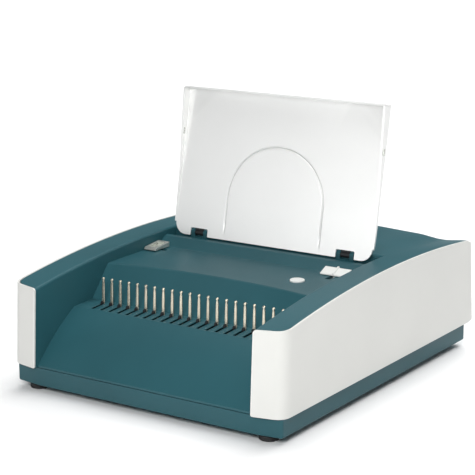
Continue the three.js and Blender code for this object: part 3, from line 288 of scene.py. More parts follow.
def sheet(bm, rows, closed=False):
    """A sheet of quads through rows of points that all have the same length."""
    grid = [[bm.verts.new(p) for p in row] for row in rows]
    for a, b in zip(grid, grid[1:]):
        count = len(a) if closed else len(a) - 1
        for i in range(count):
            j = (i + 1) % len(a)
            bm.faces.new((a[i], a[j], b[j], b[i]))
    return grid


def carve(obj, cutters):
    """Cuts closed shapes out of a closed piece."""
    for cutter in cutters:
        hole = obj.modifiers.new("hole", "BOOLEAN")
        hole.operation = "DIFFERENCE"
        hole.solver = "EXACT"
        hole.object = cutter
    bake_modifiers(obj)
    for cutter in cutters:
        mesh = cutter.data
        bpy.data.objects.remove(cutter)
        bpy.data.meshes.remove(mesh)


def prism_cutter(points, z0, z1):
    """A closed upright prism through (x, y) points."""
    bm = bmesh.new()
    sides = sheet(bm, [[at(x, y, z) for x, y in points] for z in (z0, z1)], closed=True)
    bm.faces.new(sides[0])
    bm.faces.new(sides[-1])
    return object_of("cutter", bm)


def circle(x, y, radius, count):
    return [
        (x + radius * math.cos(2 * math.pi * i / count), y + radius * math.sin(2 * math.pi * i / count))
        for i in range(count)
    ]


def rounded_rectangle(x0, x1, y0, y1, radius, steps=5):
    corners = [(x1 - radius, y0 + radius, -90), (x1 - radius, y1 - radius, 0),
               (x0 + radius, y1 - radius, 90), (x0 + radius, y0 + radius, 180)]
    points = []
    for cx, cy, start in corners:
        for degrees in spread(start, start + 90, steps):
            angle = math.radians(degrees)
            points.append((cx + radius * math.cos(angle), cy + radius * math.sin(angle)))
    return points


def eased_line(points, radii, steps):
    """A line through 2-D points with each inner corner rounded to its radius."""
    line = [Vector(points[0])]
    for before, corner, after, radius in zip(points, points[1:], points[2:], radii):
        here = Vector(corner)
        back = (Vector(before) - here).normalized()
        on = (Vector(after) - here).normalized()
        half = back.angle(on) / 2
        reach = radius / math.tan(half)
        start = here + back * reach
        end = here + on * reach
        for t in spread(0, 1, steps):
            line.append(start * (1 - t) ** 2 + here * 2 * t * (1 - t) + end * t * t)
    line.append(Vector(points[-1]))
    return line


def lathe(name, profile, place, segments, axis="Z"):
    """A turned piece: profile is (radius, height) from end to end of its axis."""
    turn = {"Z": Matrix.Identity(3), "Y": Matrix.Rotation(-math.pi / 2, 3, "X")}[axis]
    bm = bmesh.new()
    rows = []
    for radius, height in profile:
        ring = circle(0, 0, radius, segments)
        rows.append([place + turn @ Vector((x, y, height)) * MM for x, y in ring])
    sheet(bm, rows, closed=True)
    return object_of(name, bm)


def refined(node, edge_width=None):
    """The CAD solid as one piece. With an edge width it gets whole flat faces and eased edges."""
    bm = bmesh.new()
    bm.from_mesh(frame["nodes"][node].data)
    bmesh.ops.remove_doubles(bm, verts=bm.verts, dist=CAD_WELD * MM)
    if edge_width:
        flat = math.radians(FLAT_WITHIN)
        bmesh.ops.dissolve_limit(bm, angle_limit=flat, verts=bm.verts, edges=bm.edges)
    obj = object_of(node + "_detail", bm, recalculate=False)
    if edge_width:
        bevel(obj, edge_width, REFINED_SEGMENTS, REFINED_ANGLE)
    weighted(obj)
    stands_for(obj, node)


# ---- Camera ----

CAMERA_PLACE = (1.2030, -1.8138, 0.7051)
CAMERA_YAW = 33.974
CAMERA_PITCH = 13.556
CAMERA_ROLL = -0.331
CAMERA_LENS = 125.0
CAMERA_SENSOR = 36
CAMERA_REACH = 50


def add_camera():
    camera = bpy.data.objects.new("camera", bpy.data.cameras.new("camera"))
    bpy.context.scene.collection.objects.link(camera)
    camera.data.lens = CAMERA_LENS
    camera.data.sensor_width = CAMERA_SENSOR
    camera.data.clip_end = CAMERA_REACH
    yaw = math.radians(CAMERA_YAW)
    pitch = math.radians(CAMERA_PITCH)
    roll = math.radians(CAMERA_ROLL)
    turn = Matrix.Rotation(yaw, 3, "Z") @ Matrix.Rotation(math.pi / 2 - pitch, 3, "X")
    turn = turn @ Matrix.Rotation(roll, 3, "Z")
    camera.matrix_world = Matrix.Translation(CAMERA_PLACE) @ turn.to_4x4()
    bpy.context.scene.camera = camera


add_camera()

# ---- Side panels ----

PANEL_FINE = 8
PANEL_TOP_ROUND = 4.5
PANEL_FOOT_ROUND = 2.5
PANEL_REAR_TOP_ROUND = 3
PANEL_REAR_FOOT_ROUND = 2
PANEL_EDGE = 1.1
FAR_FROM_EDGE = 100


def panel_plan():
    """Stations from the arm's inner edge round the corner and back: (x, y at the foot, share)."""
    nose_x = HALF - CORNER
    nose_y = ARM_TOE * (nose_x - ARM_INNER) / ARM_WIDTH
    stations = []
    fine_to = ARM_INNER + PANEL_FINE
    for x in spread(ARM_INNER, fine_to, 10)[:-1] + spread(fine_to, nose_x, 4)[:-1]:
        stations.append((x, ARM_TOE * (x - ARM_INNER) / ARM_WIDTH, None))
    for t in spread(0, 1, 12):
        x = (1 - t) ** 2 * nose_x + (1 - (1 - t) ** 2) * HALF
        y = (1 - t) ** 2 * nose_y + 2 * t * (1 - t) * ARM_TOE + t * t * (ARM_TOE + CORNER)
        stations.append((x, y, None))
    for share in spread(0, 1, 44)[1:]:
        stations.append((HALF, ARM_TOE + CORNER, share))
    return stations


def panel_y(foot_y, share, z):
    front = foot_y + lean(z)
    if share is None:
        return front
    rear = BODY_DEPTH - REAR_LEAN * (z - BASE_TOP) / (ARM_REAR_TOP - BASE_TOP)
    return front + (rear - front) * share


def corner_drop(distance, radius):
    """How far a round corner has fallen at a distance from the edge."""
    if distance >= radius:
        return 0
    return radius - math.sqrt(radius ** 2 - (radius - distance) ** 2)


def side_panel(node, side):
    bm = bmesh.new()
    columns = []
    low = BASE_TOP + SEAM
    for x, foot_y, share in panel_plan():
        top = ARM_REAR_TOP
        for _ in range(6):
            top = crown(panel_y(foot_y, share, top))
        inset = (x - ARM_INNER) if share is None else FAR_FROM_EDGE
        to_rear = (1 - share) * (BODY_DEPTH - CORNER) if share is not None else FAR_FROM_EDGE
        high = top - corner_drop(inset, PANEL_TOP_ROUND) - corner_drop(to_rear, PANEL_REAR_TOP_ROUND)
        foot = low + corner_drop(inset, PANEL_FOOT_ROUND) + corner_drop(to_rear, PANEL_REAR_FOOT_ROUND)
        columns.append([at(side * x, panel_y(foot_y, share, z), z) for z in spread(foot, high, 8)])
    sheet(bm, columns)
    panel = object_of(node + "_skin", bm)
    outward = sum((p.normal * p.area for p in panel.data.polygons), Vector())
    if outward.x * side < 0:
        panel.data.flip_normals()
    thicken(panel, WALL)
    bevel(panel, PANEL_EDGE, 4, 40)
    weighted(panel)
    stands_for(panel, node)


side_panel("right_side_panel", 1)
side_panel("left_side_panel", -1)

# ---- Upper housing ----

GUTTER_ROUND = 1.5
REAR_ROLL = 2.5


def rear_contour(x):
    share = abs(x) / ARM_INNER
    dome = CROWN_RISE * (1 + math.cos(math.pi * share)) / 2 if share < 1 else 0
    dip = max(0, 1 - abs(abs(x) - ARM_INNER) / (ARM_WIDTH - WALL))
    return dome - VALLEY * dip * dip * (3 - 2 * dip)


def housing_top(x, y):
    share = max(0, (y - GUTTER_REAR - EDGE_ROLL) / (TOP_REAR_Y - GUTTER_REAR - EDGE_ROLL))
    return crown(y) - TOP_RECESS + rear_contour(x) * share


def housing_front(x, z):
    """Where the arm begins, behind the panel's front."""
    start = WALL + SEAM
    nose_x = HALF - CORNER
    nose_y = ARM_TOE * (nose_x - ARM_INNER) / ARM_WIDTH
    if x <= nose_x:
        return start + ARM_TOE * (x - ARM_INNER) / ARM_WIDTH + lean(z)
    t = 1 - math.sqrt(max(0, 1 - (x - nose_x) / (SHELL_OUTER - nose_x)))
    bend = (1 - t) ** 2 * nose_y + 2 * t * (1 - t) * ARM_TOE + t * t * (ARM_TOE + CORNER)
    return start + bend + lean(z)


def roll_steps():
    """The rounded edge between a wall and the top: (offset from the wall, drop below the top)."""
    steps = []
    for angle in spread(0, math.pi / 2, 6):
        steps.append((EDGE_ROLL * (1 - math.cos(angle)), EDGE_ROLL * (1 - math.sin(angle))))
    return steps


def arm_columns(side):
    nose_x = HALF - CORNER
    flat = spread(ARM_INNER + EDGE_ROLL, nose_x, 4)[1:] + spread(nose_x, SHELL_OUTER, 8)[1:]
    stations = spread(0, 1, 44)
    columns = []
    wall_foot = BASE_TOP + SEAM
    for share in spread(0, 1, 8)[:-1]:
        column = []
        for t in stations:
            z = wall_foot
            for _ in range(4):
                y = housing_front(ARM_INNER, z) * (1 - t) + GUTTER_REAR * t
                z = wall_foot + (housing_top(ARM_INNER, y) - EDGE_ROLL - wall_foot) * share
            column.append(at(side * ARM_INNER, y, z))
        columns.append(column)
    for offset, drop in roll_steps():
        columns.append(top_column(side, ARM_INNER + offset, GUTTER_REAR + offset, drop, stations))
    for x in flat:
        columns.append(top_column(side, x, GUTTER_REAR + EDGE_ROLL, 0, stations))
    return columns


def top_column(side, x, y_end, drop, stations):
    column = []
    for t in stations:
        z = ARM_FRONT_TOP
        for _ in range(4):
            y = housing_front(x, z) * (1 - t) + y_end * t
            z = housing_top(x, y) - drop
        column.append(at(side * x, y, z))
    return column


def upper_housing():
    bm = bmesh.new()
    for side in (1, -1):
        sheet(bm, arm_columns(side))
    across = spread(-1, 1, 30)
    rows = [[at(u * ARM_INNER, THROAT_REAR, SHELF_TOP) for u in across]]
    for angle in spread(0, math.pi / 2, 4):
        y = GUTTER_REAR - GUTTER_ROUND + GUTTER_ROUND * math.sin(angle)
        z = SHELF_TOP + GUTTER_ROUND - GUTTER_ROUND * math.cos(angle)
        rows.append([at(u * ARM_INNER, y, z) for u in across])
    wall_top = housing_top(0, GUTTER_REAR) - EDGE_ROLL
    for share in spread(0, 1, 2)[1:-1]:
        z = SHELF_TOP + GUTTER_ROUND + (wall_top - SHELF_TOP - GUTTER_ROUND) * share
        rows.append([at(u * ARM_INNER, GUTTER_REAR, z) for u in across])
    for offset, drop in roll_steps():
        y = GUTTER_REAR + offset
        rows.append([at(u * (ARM_INNER + offset), y, housing_top(0, y) - drop) for u in across])
    sheet(bm, rows)
    nose_x = HALF - CORNER
    outer = spread(ARM_INNER + EDGE_ROLL, nose_x, 4)[1:] + spread(nose_x, SHELL_OUTER, 8)[1:]
    inner = [u * (ARM_INNER + EDGE_ROLL) for u in across]
    stations = [-x for x in reversed(outer)] + inner + outer
    rear_rows = []
    for y in spread(GUTTER_REAR + EDGE_ROLL, REAR_EDGE - REAR_ROLL, 26):
        rear_rows.append([at(x, y, housing_top(x, y)) for x in stations])
    for angle in spread(0, math.pi / 2, 5)[1:]:
        y = REAR_EDGE - REAR_ROLL + REAR_ROLL * math.sin(angle)
        fall = REAR_ROLL * (1 - math.cos(angle))
        rear_rows.append([at(x, y, housing_top(x, REAR_EDGE - REAR_ROLL) - fall) for x in stations])
    sheet(bm, rear_rows)
    housing = object_of("upper_housing_skin", bm)
    top = sum((p.normal * p.area for p in housing.data.polygons), Vector())
    if top.z < 0:
        housing.data.flip_normals()
    thicken(housing, WALL)
    bevel(housing, 0.5, 2, 50)
    weighted(housing)
    stands_for(housing, "upper_housing")


upper_housing()

# ---- Deck cover ----

DECK_TOP = 142.5
DECK_RISE = 1
CREASE_Y = 160
CREASE_BOW = 19
LEDGE_TOP = 100
SLOPE_FOOT = 124.6
STRIP_TOP = 155.5
RISER_TOP_Y = THROAT_FRONT - 7
RISER_FOOT_Y = RISER_TOP_Y - 17
BUTTON = (101, 217)
BUTTON_RADIUS = 10
LEVER_SLOT = (126, 134, 244, 272)
GUIDE_SLOT = (-ARM_INNER + 6.5, -ARM_INNER + 28.5, 253.3, 261.3)
BUTTON_GAP = 0.6
SLOT_ROUND = 2
CUT_LOW = 120
CUT_HIGH = 170
BOW_END = RISER_FOOT_Y - 10


def deck_cover():
    profile = eased_line(
        [
            (SLOPE_FOOT, LEDGE_TOP - WALL + 0.2),
            (SLOPE_FOOT, LEDGE_TOP),
            (CREASE_Y, DECK_TOP),
            (RISER_FOOT_Y, DECK_TOP + DECK_RISE),
            (RISER_TOP_Y, STRIP_TOP - 1),
            (THROAT_FRONT, STRIP_TOP),
            (THROAT_FRONT, DECK_TOP + DECK_RISE - WALL - 8),
        ],
        [0.8, 5, 6, 2.2, 1.4],
        6,
    )
    dense = [profile[0]]
    for a, b in zip(profile, profile[1:]):
        count = max(1, round((b - a).length / 9))
        dense += [a.lerp(b, t) for t in spread(0, 1, count)[1:]]
    bm = bmesh.new()
    rows = []
    for share in spread(-1, 1, 56):
        row = []
        for y, z in dense:
            climb = min(1, max(0, (z - LEDGE_TOP) / (DECK_TOP - LEDGE_TOP)))
            bow = CREASE_BOW * (1 - share * share)
            fade = min(1, max(0, (BOW_END - y) / (BOW_END - CREASE_Y)))
            row.append(at(share * DECK_HALF, y + bow * climb * fade, z))
        rows.append(row)
    sheet(bm, rows)
    deck = object_of("deck_cover_skin", bm)
    if sum((p.normal * p.area for p in deck.data.polygons), Vector()).z < 0:
        deck.data.flip_normals()
    thicken(deck, WALL)
    bake_modifiers(deck)
    carve(
        deck,
        [
            prism_cutter(circle(*BUTTON, BUTTON_RADIUS + BUTTON_GAP, 64), CUT_LOW, CUT_HIGH),
            prism_cutter(rounded_rectangle(*LEVER_SLOT, SLOT_ROUND), CUT_LOW, CUT_HIGH),
            prism_cutter(rounded_rectangle(*GUIDE_SLOT, SLOT_ROUND), CUT_LOW, CUT_HIGH),
        ],
    )
    bevel(deck, 0.35, 2, 45)
    weighted(deck)
    stands_for(deck, "deck_cover")


deck_cover()

# ---- Document ramp and base pan ----

RAMP_FRONT = 8
RAMP_LIP = 3.2
RAMP_END = 85
RAMP_CROWN = 5
PAN_ROLL = 2.5
PAN_STRAIGHT_FROM = 12


def document_ramp():
    top = LEDGE_TOP - 2
    middle = Vector(((RAMP_FRONT + RAMP_END) / 2, (BASE_TOP + RAMP_LIP + top) / 2 + 2 * RAMP_CROWN))
    start = Vector((RAMP_FRONT, BASE_TOP + RAMP_LIP))
    end = Vector((RAMP_END, top))
    line = [Vector((RAMP_FRONT, BASE_TOP + SEAM))]
    curve = [start * (1 - t) ** 2 + middle * 2 * t * (1 - t) + end * t * t for t in spread(0, 1, 26)]
    line += eased_line([line[0], start, curve[2]], [1.5], 4)[1:-1] + curve[2:]
    bm = bmesh.new()
    sheet(bm, [[at(x, y, z) for y, z in line] for x in spread(-DECK_HALF, DECK_HALF, 24)])
    ramp = object_of("document_ramp_skin", bm)
    if sum((p.normal * p.area for p in ramp.data.polygons), Vector()).z < 0:
        ramp.data.flip_normals()
    thicken(ramp, WALL)
    bevel(ramp, 0.5, 2, 50)
    weighted(ramp)
    stands_for(ramp, "document_ramp")


def base_outline(inset):
    x = HALF - BASE_INSET - inset
    corner = BASE_CORNER
    front = RAMP_FRONT + inset
    side_front = RAMP_FRONT + ARM_TOE / 2 + inset
    rear = BASE_REAR - inset
    right = [(px, front) for px in spread(0, ARM_INNER, 8)]
    right += [(ARM_INNER + (x - corner - ARM_INNER) * t, front + (side_front - front) * t) for t in (0.5, 1)]
    for t in spread(0, 1, 8)[1:]:
        right.append((x - corner * (1 - t) ** 2, side_front + corner * t * t))
    right += [(x, py) for py in spread(side_front + corner, rear - corner, 20)[1:]]
    for angle in spread(0, math.pi / 2, 4)[1:]:
        right.append((x - corner + corner * math.cos(angle), rear - corner + corner * math.sin(angle)))
    right += [(px, rear) for px in spread(x - corner, 0, 10)[1:]]
    return right + [(-px, py) for px, py in reversed(right[1:-1])]


def base_pan():
    bm = bmesh.new()
    rows = [[at(x, y, BASE_TOP - SEAM) for x, y in base_outline(0)]]
    roll = PAN_ROLL
    rows.append([at(x, y, FOOT_HEIGHT + PAN_STRAIGHT_FROM) for x, y in base_outline(0)])
    for angle in spread(0, math.pi / 2, 5):
        z = FOOT_HEIGHT + roll - roll * math.sin(angle)
        rows.append([at(x, y, z) for x, y in base_outline(roll - roll * math.cos(angle))])
    grid = sheet(bm, rows, closed=True)
    bm.faces.new(grid[-1])
    pan = object_of("base_pan_skin", bm)
    thicken(pan, WALL)
    bevel(pan, 0.6, 2, 60)
    weighted(pan)
    stands_for(pan, "base_pan")


document_ramp()
base_pan()

# ---- Comb fingers ----

COMB_PITCH = 14.2875
COMB_TEETH = 21
TINE_Y = 115
TINE_TOP = 135
TINE_LEAN = 2
TINE_HEAD = 2.1
TINE_HALF_DEPTH = 1.0
TINE_HEAD_HALF_DEPTH = 1.45
RAKE_BASE = LEDGE_TOP - 12
RAKE_BAR_PAST = 7
RAKE_BAR_DEPTH = 8


def tine_rake():
    """Each finger is a flat strip, slim at the neck, with a round head."""
    bm = bmesh.new()
    rise = TINE_TOP - RAKE_BASE
    head = TINE_HEAD
    outline = [(0, 2.3), (0.3, 2.25), (0.6, 2.1), (0.8, 1.95), (0.86, 1.85)]
    outline = [(share * rise, half) for share, half in outline]
    for angle in spread(-50, 88, 9):
        radians = math.radians(angle)
        outline.append((rise - head + head * math.sin(radians), head * math.cos(radians)))
    for number in range(COMB_TEETH):
        x = (number - (COMB_TEETH - 1) / 2) * COMB_PITCH
        rows = []
        for height, half in outline:
            in_head = height >= rise - 2 * head
            depth = min(TINE_HEAD_HALF_DEPTH, 0.6 + half * 0.45) if in_head else TINE_HALF_DEPTH
            shift = TINE_LEAN * height / rise
            section = rounded_rectangle(-half, half, -depth, depth, min(depth, half) * 0.85, 3)
            rows.append([at(x + px, TINE_Y + shift + py, RAKE_BASE + height) for px, py in section])
        grid = sheet(bm, rows, closed=True)
        bm.faces.new(grid[0])
        bm.faces.new(grid[-1])
    bar_half = COMB_PITCH * (COMB_TEETH - 1) / 2 + RAKE_BAR_PAST
    bar_low = RAKE_BASE - RAKE_BAR_DEPTH
    section = rounded_rectangle(TINE_Y - 1, TINE_Y + 1, bar_low, RAKE_BASE + 0.2, 0.4, 2)
    rows = [[at(x, y, z) for y, z in section] for x in spread(-bar_half, bar_half, 20)]
    grid = sheet(bm, rows, closed=True)
    bm.faces.new(grid[0])
    bm.faces.new(grid[-1])
    rake = object_of("comb_fingers", bm)
    weighted(rake)
    stands_for(rake, "tine_rake")


tine_rake()

# ---- Lid ----

LID_LEAN = math.radians(11.8)
LID_LENGTH = 206
LID_TAIL = 5
LID_FACE = -4
LID_WALL = 2.6
LID_HALF = ARM_INNER - 6
LID_CORNER = 17
LID_INNER_HALF = LID_HALF - LID_WALL
LID_INNER_LENGTH = LID_LENGTH - LID_WALL
LID_LIP = 15
LID_SIDE_LIP = 3
LID_TAPER_END = 85
ARCH_RADIUS = 78
ARCH_CENTRE = 55
ARCH_WIDTH = 4.6
ARCH_DEPTH = 1.7
HINGE_X = LID_HALF - 43.5
NOTCH_HALF = 14.5
NOTCH_TOP = 6.2
KNUCKLE_RADIUS = 4
KNUCKLE_BORE = 2.2
KNUCKLE_HALF = 7
LIP_ROOT = 0.4
ARCH_FOOT = 3
TAB_LEVELS = (137.6, 142, 146.4)


def lid_turned(obj):
    """Moves a piece drawn upright about the hinge axis to where the open lid stands."""
    place = Matrix.Translation(at(0, HINGE_Y, HINGE_Z)) @ Matrix.Rotation(-LID_LEAN, 4, "X")
    obj.data.transform(place)
    obj.data.update()


def lip_depth(z):
    low = LID_CORNER
    if z <= low:
        return LIP_ROOT
    if z < LID_TAPER_END:
        return LIP_ROOT + (LID_SIDE_LIP - LIP_ROOT) * (z - low) / (LID_TAPER_END - low)
    return LID_SIDE_LIP + (LID_LIP - LID_SIDE_LIP) * (z - LID_TAPER_END) / (LID_LENGTH - LID_TAPER_END)


def lid_outline():
    points = []
    low = -LID_TAIL
    for hinge in (-HINGE_X, HINGE_X):
        ends = (hinge - NOTCH_HALF, hinge + NOTCH_HALF)
        points += eased_line(
            [(ends[0] - 6, low), (ends[0], low), (ends[0], NOTCH_TOP), (ends[1], NOTCH_TOP), (ends[1], low),
             (ends[1] + 6, low)],
            [1.5, 2, 2, 1.5],
            3,
        )
    corner = (LID_INNER_HALF - LID_CORNER, low + LID_CORNER)
    for degrees in spread(-90, 0, 14):
        angle = math.radians(degrees)
        points.append((corner[0] + LID_CORNER * math.cos(angle), corner[1] + LID_CORNER * math.sin(angle)))
    side = spread(low + LID_CORNER, LID_INNER_LENGTH, 24)[1:]
    points += [(LID_INNER_HALF, z) for z in side]
    points += [(x, LID_INNER_LENGTH) for x in spread(LID_INNER_HALF, -LID_INNER_HALF, 24)[1:]]
    points += [(-LID_INNER_HALF, z) for z in reversed(side[:-1])]
    for degrees in spread(180, 270, 14):
        angle = math.radians(degrees)
        points.append((-corner[0] + LID_CORNER * math.cos(angle), corner[1] + LID_CORNER * math.sin(angle)))
    return points


def arch_stations():
    """The arch's middle line and its outward direction, from the left foot over the top to the right foot."""
    stations = [((-ARCH_RADIUS, z), (-1, 0)) for z in spread(ARCH_FOOT, ARCH_CENTRE, 12)[:-1]]
    for angle in spread(math.pi, 0, 48):
        out = (math.cos(angle), math.sin(angle))
        stations.append(((ARCH_RADIUS * out[0], ARCH_CENTRE + ARCH_RADIUS * out[1]), out))
    stations += [((ARCH_RADIUS, z), (1, 0)) for z in spread(ARCH_CENTRE, ARCH_FOOT, 12)[1:]]
    return stations


def lid_face():
    """The lid's sheet with the pressed arch, its top lip and its side lips."""
    bm = bmesh.new()
    stations = arch_stations()
    across = spread(-1, 1, 10)
    rows = []
    for i, ((x, z), (ox, oz)) in enumerate(stations):
        fade = min(1, i / 4, (len(stations) - 1 - i) / 4)
        row = []
        for s in across:
            sink = ARCH_DEPTH * fade * (1 + math.cos(math.pi * s)) / 2
            reach = s * ARCH_WIDTH / 2
            row.append(Vector((x + ox * reach, LID_FACE + sink, z + oz * reach)) * MM)
        rows.append(row)
    grid = sheet(bm, rows)
    hole = [row[0] for row in grid] + grid[-1][1:-1] + [row[-1] for row in reversed(grid)]
    hole += list(reversed(grid[0][1:-1]))
    outline = [bm.verts.new(Vector((x, LID_FACE, z)) * MM) for x, z in lid_outline()]
    edges = []
    for loop in (hole, outline):
        for a, b in zip(loop, loop[1:] + loop[:1]):
            edges.append(bm.edges.get((a, b)) or bm.edges.new((a, b)))
    bmesh.ops.triangle_fill(bm, use_beauty=True, use_dissolve=False, edges=edges)
    for side in (-1, 1):
        x = side * LID_INNER_HALF
        zs = spread(-LID_TAIL + LID_CORNER, LID_INNER_LENGTH, 24)
        sheet(bm, [[Vector((x, LID_FACE - lip_depth(z) * t, z)) * MM for t in spread(0, 1, 4)] for z in zs])
    rows = [[Vector((x, LID_FACE - LID_LIP * t, LID_INNER_LENGTH)) * MM for t in spread(0, 1, 4)]
            for x in spread(-LID_INNER_HALF, LID_INNER_HALF, 24)]
    sheet(bm, rows)
    lid = object_of("lid_sheet", bm)
    front = sum((p.normal * p.area for p in lid.data.polygons), Vector())
    if front.y > 0:
        lid.data.flip_normals()
    shell = lid.modifiers.new("wall", "SOLIDIFY")
    shell.thickness = LID_WALL * MM
    shell.offset = -1
    shell.use_even_offset = True
    bevel(lid, 0.9, 4, 50)
    lid_turned(lid)
    weighted(lid)
    stands_for(lid, "lid_panel")


def lid_knuckles():
    bm = bmesh.new()
    turn = spread(0, 2 * math.pi, 32)[:-1]
    ring = [(KNUCKLE_RADIUS * math.cos(a), KNUCKLE_RADIUS * math.sin(a)) for a in turn]
    bore = [(KNUCKLE_BORE * math.cos(a), KNUCKLE_BORE * math.sin(a)) for a in turn]
    for x in (-HINGE_X, HINGE_X):
        left = x - KNUCKLE_HALF
        right = x + KNUCKLE_HALF
        loops = ((left, ring), (right, ring), (right, bore), (left, bore), (left, ring))
        sheet(bm, [[Vector((px, y, z)) * MM for y, z in loop] for px, loop in loops], closed=True)
        web = rounded_rectangle(left, right, LID_FACE + 0.5, LID_FACE + LID_WALL - 0.2, 0.5, 2)
        levels = (KNUCKLE_RADIUS - 0.5, NOTCH_TOP, NOTCH_TOP + 6)
        grid = sheet(bm, [[Vector((px, py, z)) * MM for px, py in web] for z in levels], closed=True)
        bm.faces.new(grid[0])
        bm.faces.new(grid[-1])
    knuckles = object_of("lid_knuckles", bm)
    bevel(knuckles, 0.3, 2, 50)
    lid_turned(knuckles)
    weighted(knuckles)
    knuckles.data.materials.append(MATERIALS["dark_steel"])
    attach(knuckles, "lid")


def lid_tabs():
    bm = bmesh.new()
    for side in (-1, 1):
        section = rounded_rectangle(LID_HALF - 3.2, LID_HALF + 1.5, LID_FACE - 6.2, LID_FACE - 2.8, 0.9, 3)
        rows = [[Vector((side * x, y, z)) * MM for x, y in section] for z in TAB_LEVELS]
        grid = sheet(bm, rows, closed=True)
        bm.faces.new(grid[0])
        bm.faces.new(grid[-1])
    tabs = object_of("lid_tabs", bm)
    bevel(tabs, 0.5, 3, 50)
    lid_turned(tabs)
    weighted(tabs)
    tabs.data.materials.append(MATERIALS["guide_silver"])
    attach(tabs, "lid")


lid_face()
lid_knuckles()
lid_tabs()

# ---- Turned pieces ----

BUTTON_STAND = 2
BUTTON_SKIRT = 5
BUTTON_STEM = 3
BUTTON_STEM_FOOT = 9
BUTTON_EDGE = 1.2
AXIS = 0.01
CROSS_LONG = 2.1
CROSS_SHORT = 0.45
CROSS_FLOOR = 1.2


def start_button():
    top = DECK_TOP + DECK_RISE * 0.5 + BUTTON_STAND
    profile = [
        (AXIS, top - BUTTON_STEM_FOOT),
        (BUTTON_STEM, top - BUTTON_STEM_FOOT),
        (BUTTON_STEM, top - BUTTON_SKIRT),
        (BUTTON_RADIUS, top - BUTTON_SKIRT),
        (BUTTON_RADIUS, top - BUTTON_EDGE),
    ]
    inner = BUTTON_RADIUS - BUTTON_EDGE
    shoulder = top - BUTTON_EDGE
    for angle in spread(0, math.pi / 2, 6):
        profile.append((inner + BUTTON_EDGE * math.cos(angle), shoulder + BUTTON_EDGE * math.sin(angle)))
    profile += [(8.0, top + 0.05), (7.4, top - 0.15), (6.6, top - 0.1), (3.5, top + 0.25), (AXIS, top + 0.38)]
    button = lathe("start_button_cap", profile, at(*BUTTON, 0), 64)
    weighted(button)
    stands_for(button, "start_button")


def feet():
    for node in ("foot_front_right", "foot_front_left", "foot_rear_right", "foot_rear_left"):
        low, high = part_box(node)
        centre = Vector(((low.x + high.x) / 2, (low.y + high.y) / 2, 0))
        height = high.z / MM
        profile = [(AXIS, 0.6), (7.5, 0.6), (8, 0), (11, 0), (12, 0.5), (12.6, 1.4), (12.75, 3), (12.2, 3.4)]
        profile += [(12.2, 4.2), (12.85, 4.6), (12.95, height), (AXIS, height)]
        foot = lathe(node + "_rubber", profile, centre, 56)
        weighted(foot)
        stands_for(foot, node)


def rear_screws():
    for number in range(1, 5):
        node = f"rear_screw_{number}"
        low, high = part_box(node)
        place = Vector(((low.x + high.x) / 2, at(0, REAR_PANEL_Y, 0).y, (low.z + high.z) / 2))
        shank = [(AXIS, -8), (1.8, -8), (1.8, SEAM)]
        head = [(3.8, SEAM), (3.75, 1), (3.3, 1.9), (2.4, 2.45), (AXIS, 2.65)]
        screw = lathe(node + "_head", [(r, -h) for r, h in shank + head], place, 32, "Y")
        cross = []
        for half_x, half_z in ((CROSS_LONG, CROSS_SHORT), (CROSS_SHORT, CROSS_LONG)):
            bm = bmesh.new()
            corners = ((-half_x, -half_z), (half_x, -half_z), (half_x, half_z), (-half_x, half_z))
            rows = [[place + Vector((x, y, z)) * MM for x, z in corners] for y in (CROSS_FLOOR, 5)]
            grid = sheet(bm, rows, closed=True)
            bm.faces.new(grid[0])
            bm.faces.new(grid[-1])
            cross.append(object_of("cutter", bm))
        carve(screw, cross)
        weighted(screw)
        stands_for(screw, node)


start_button()
feet()
rear_screws()

# ---- Pieces whose CAD shape is right, with whole faces and eased edges ----

for node, width in {
    "hook_bar": 0.3, "rake_support": 0.3, "opener_lever": 0.9, "edge_guide": 0.7,
    "slot_shutter": 0.3,
    "hinge_bracket_right": 0.8, "hinge_bracket_left": 0.8, "rear_panel": 0.5,
    "switch_frame": 0.5, "power_rocker": 0.5, "chip_drawer": 0.5, "drawer_rail_right": 0.3,
    "drawer_rail_left": 0.3, "opener_link_right": 0.3, "opener_link_left": 0.3,
    "guide_plate": 0.3, "sheet_stop": 0.3, "punch_bar": 0.3, "control_board": 0.2, "button_switch": 0.2,
    "side_frame_right": 0.3, "side_frame_left": 0.3, "mechanism_plate": 0.2, "motor_cradle": 0.3,
    "motor": 0.8, "motor_pinion": 0.15, "cam_gear": 0.2, "idler_gear": 0.2,
}.items():
    refined(node, width)

# ---- Pieces whose flat faces can't be merged round their holes and windows, on their CAD faces ----

for node in ("comb_ledge", "die_plate", "power_inlet", "power_supply"):
    refined(node)

# ---- Nodes kept as they are, with their finishes ----

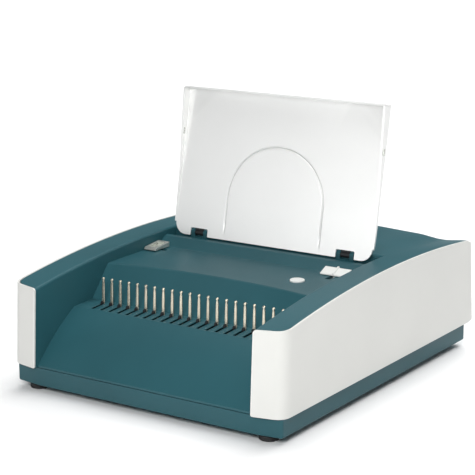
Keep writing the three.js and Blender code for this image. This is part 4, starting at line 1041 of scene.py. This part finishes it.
for node in (
    "button_spring", "camshaft", "eccentric_right", "eccentric_left", "hinge_pin_right", "hinge_pin_left",
    "idler_axle", "shaft_bearing_right", "shaft_bearing_left",
):
    kept = frame["nodes"][node]
    kept.data.materials.clear()
    kept.data.materials.append(MATERIALS[SLOT_OF[node]])

# ---- Floor and light ----

FLOOR_HALF = 9
FLOOR_COLOR = (0.93, 0.93, 0.93, 1)
FLOOR_ROUGHNESS = 0.7
SKY_COLOR = (0.96, 0.98, 1, 1)
SKY_STRENGTH = 0.2


def floor():
    bm = bmesh.new()
    lines = spread(-FLOOR_HALF, FLOOR_HALF, 6)
    sheet(bm, [[Vector((x, y, 0)) for x in lines] for y in lines])
    ground = object_of("floor", bm)
    mat = bpy.data.materials.new("floor_finish")
    mat.use_nodes = True
    shader = mat.node_tree.nodes["Principled BSDF"]
    shader.inputs["Base Color"].default_value = FLOOR_COLOR
    shader.inputs["Roughness"].default_value = FLOOR_ROUGHNESS
    ground.data.materials.append(mat)


def area_light(name, place, aim, size, power):
    light = bpy.data.lights.new(name, "AREA")
    light.shape = "RECTANGLE"
    light.size, light.size_y = size
    light.energy = power
    obj = bpy.data.objects.new(name, light)
    obj.location = place
    obj.rotation_euler = (Vector(aim) - Vector(place)).to_track_quat("-Z", "Y").to_euler()
    bpy.context.scene.collection.objects.link(obj)
    return obj


def lighting():
    world = bpy.data.worlds.new("studio")
    bpy.context.scene.world = world
    world.use_nodes = True
    background = world.node_tree.nodes["Background"]
    background.inputs["Color"].default_value = SKY_COLOR
    background.inputs["Strength"].default_value = SKY_STRENGTH
    area_light("key", (0.62, -1.45, 0.95), (0.1, 0, 0.2), (0.7, 0.6), 17)
    area_light("overhead", (0.2, 0.5, 2.4), (0, 0.1, 0), (2.2, 2.2), 42)
    backdrop = area_light("backdrop", (-1.6, 4.6, 3.2), (-1.6, 4.4, 0), (7, 4), 420)
    backdrop.visible_glossy = False
    sheen = area_light("sheen_card", (-0.75, -1.9, 0.25), (0, 0.1, 0.25), (0.8, 0.6), 6)
    sheen.visible_diffuse = False
    view = bpy.context.scene.view_settings
    view.view_transform = "Standard"
    view.look = "None"


floor()
lighting()
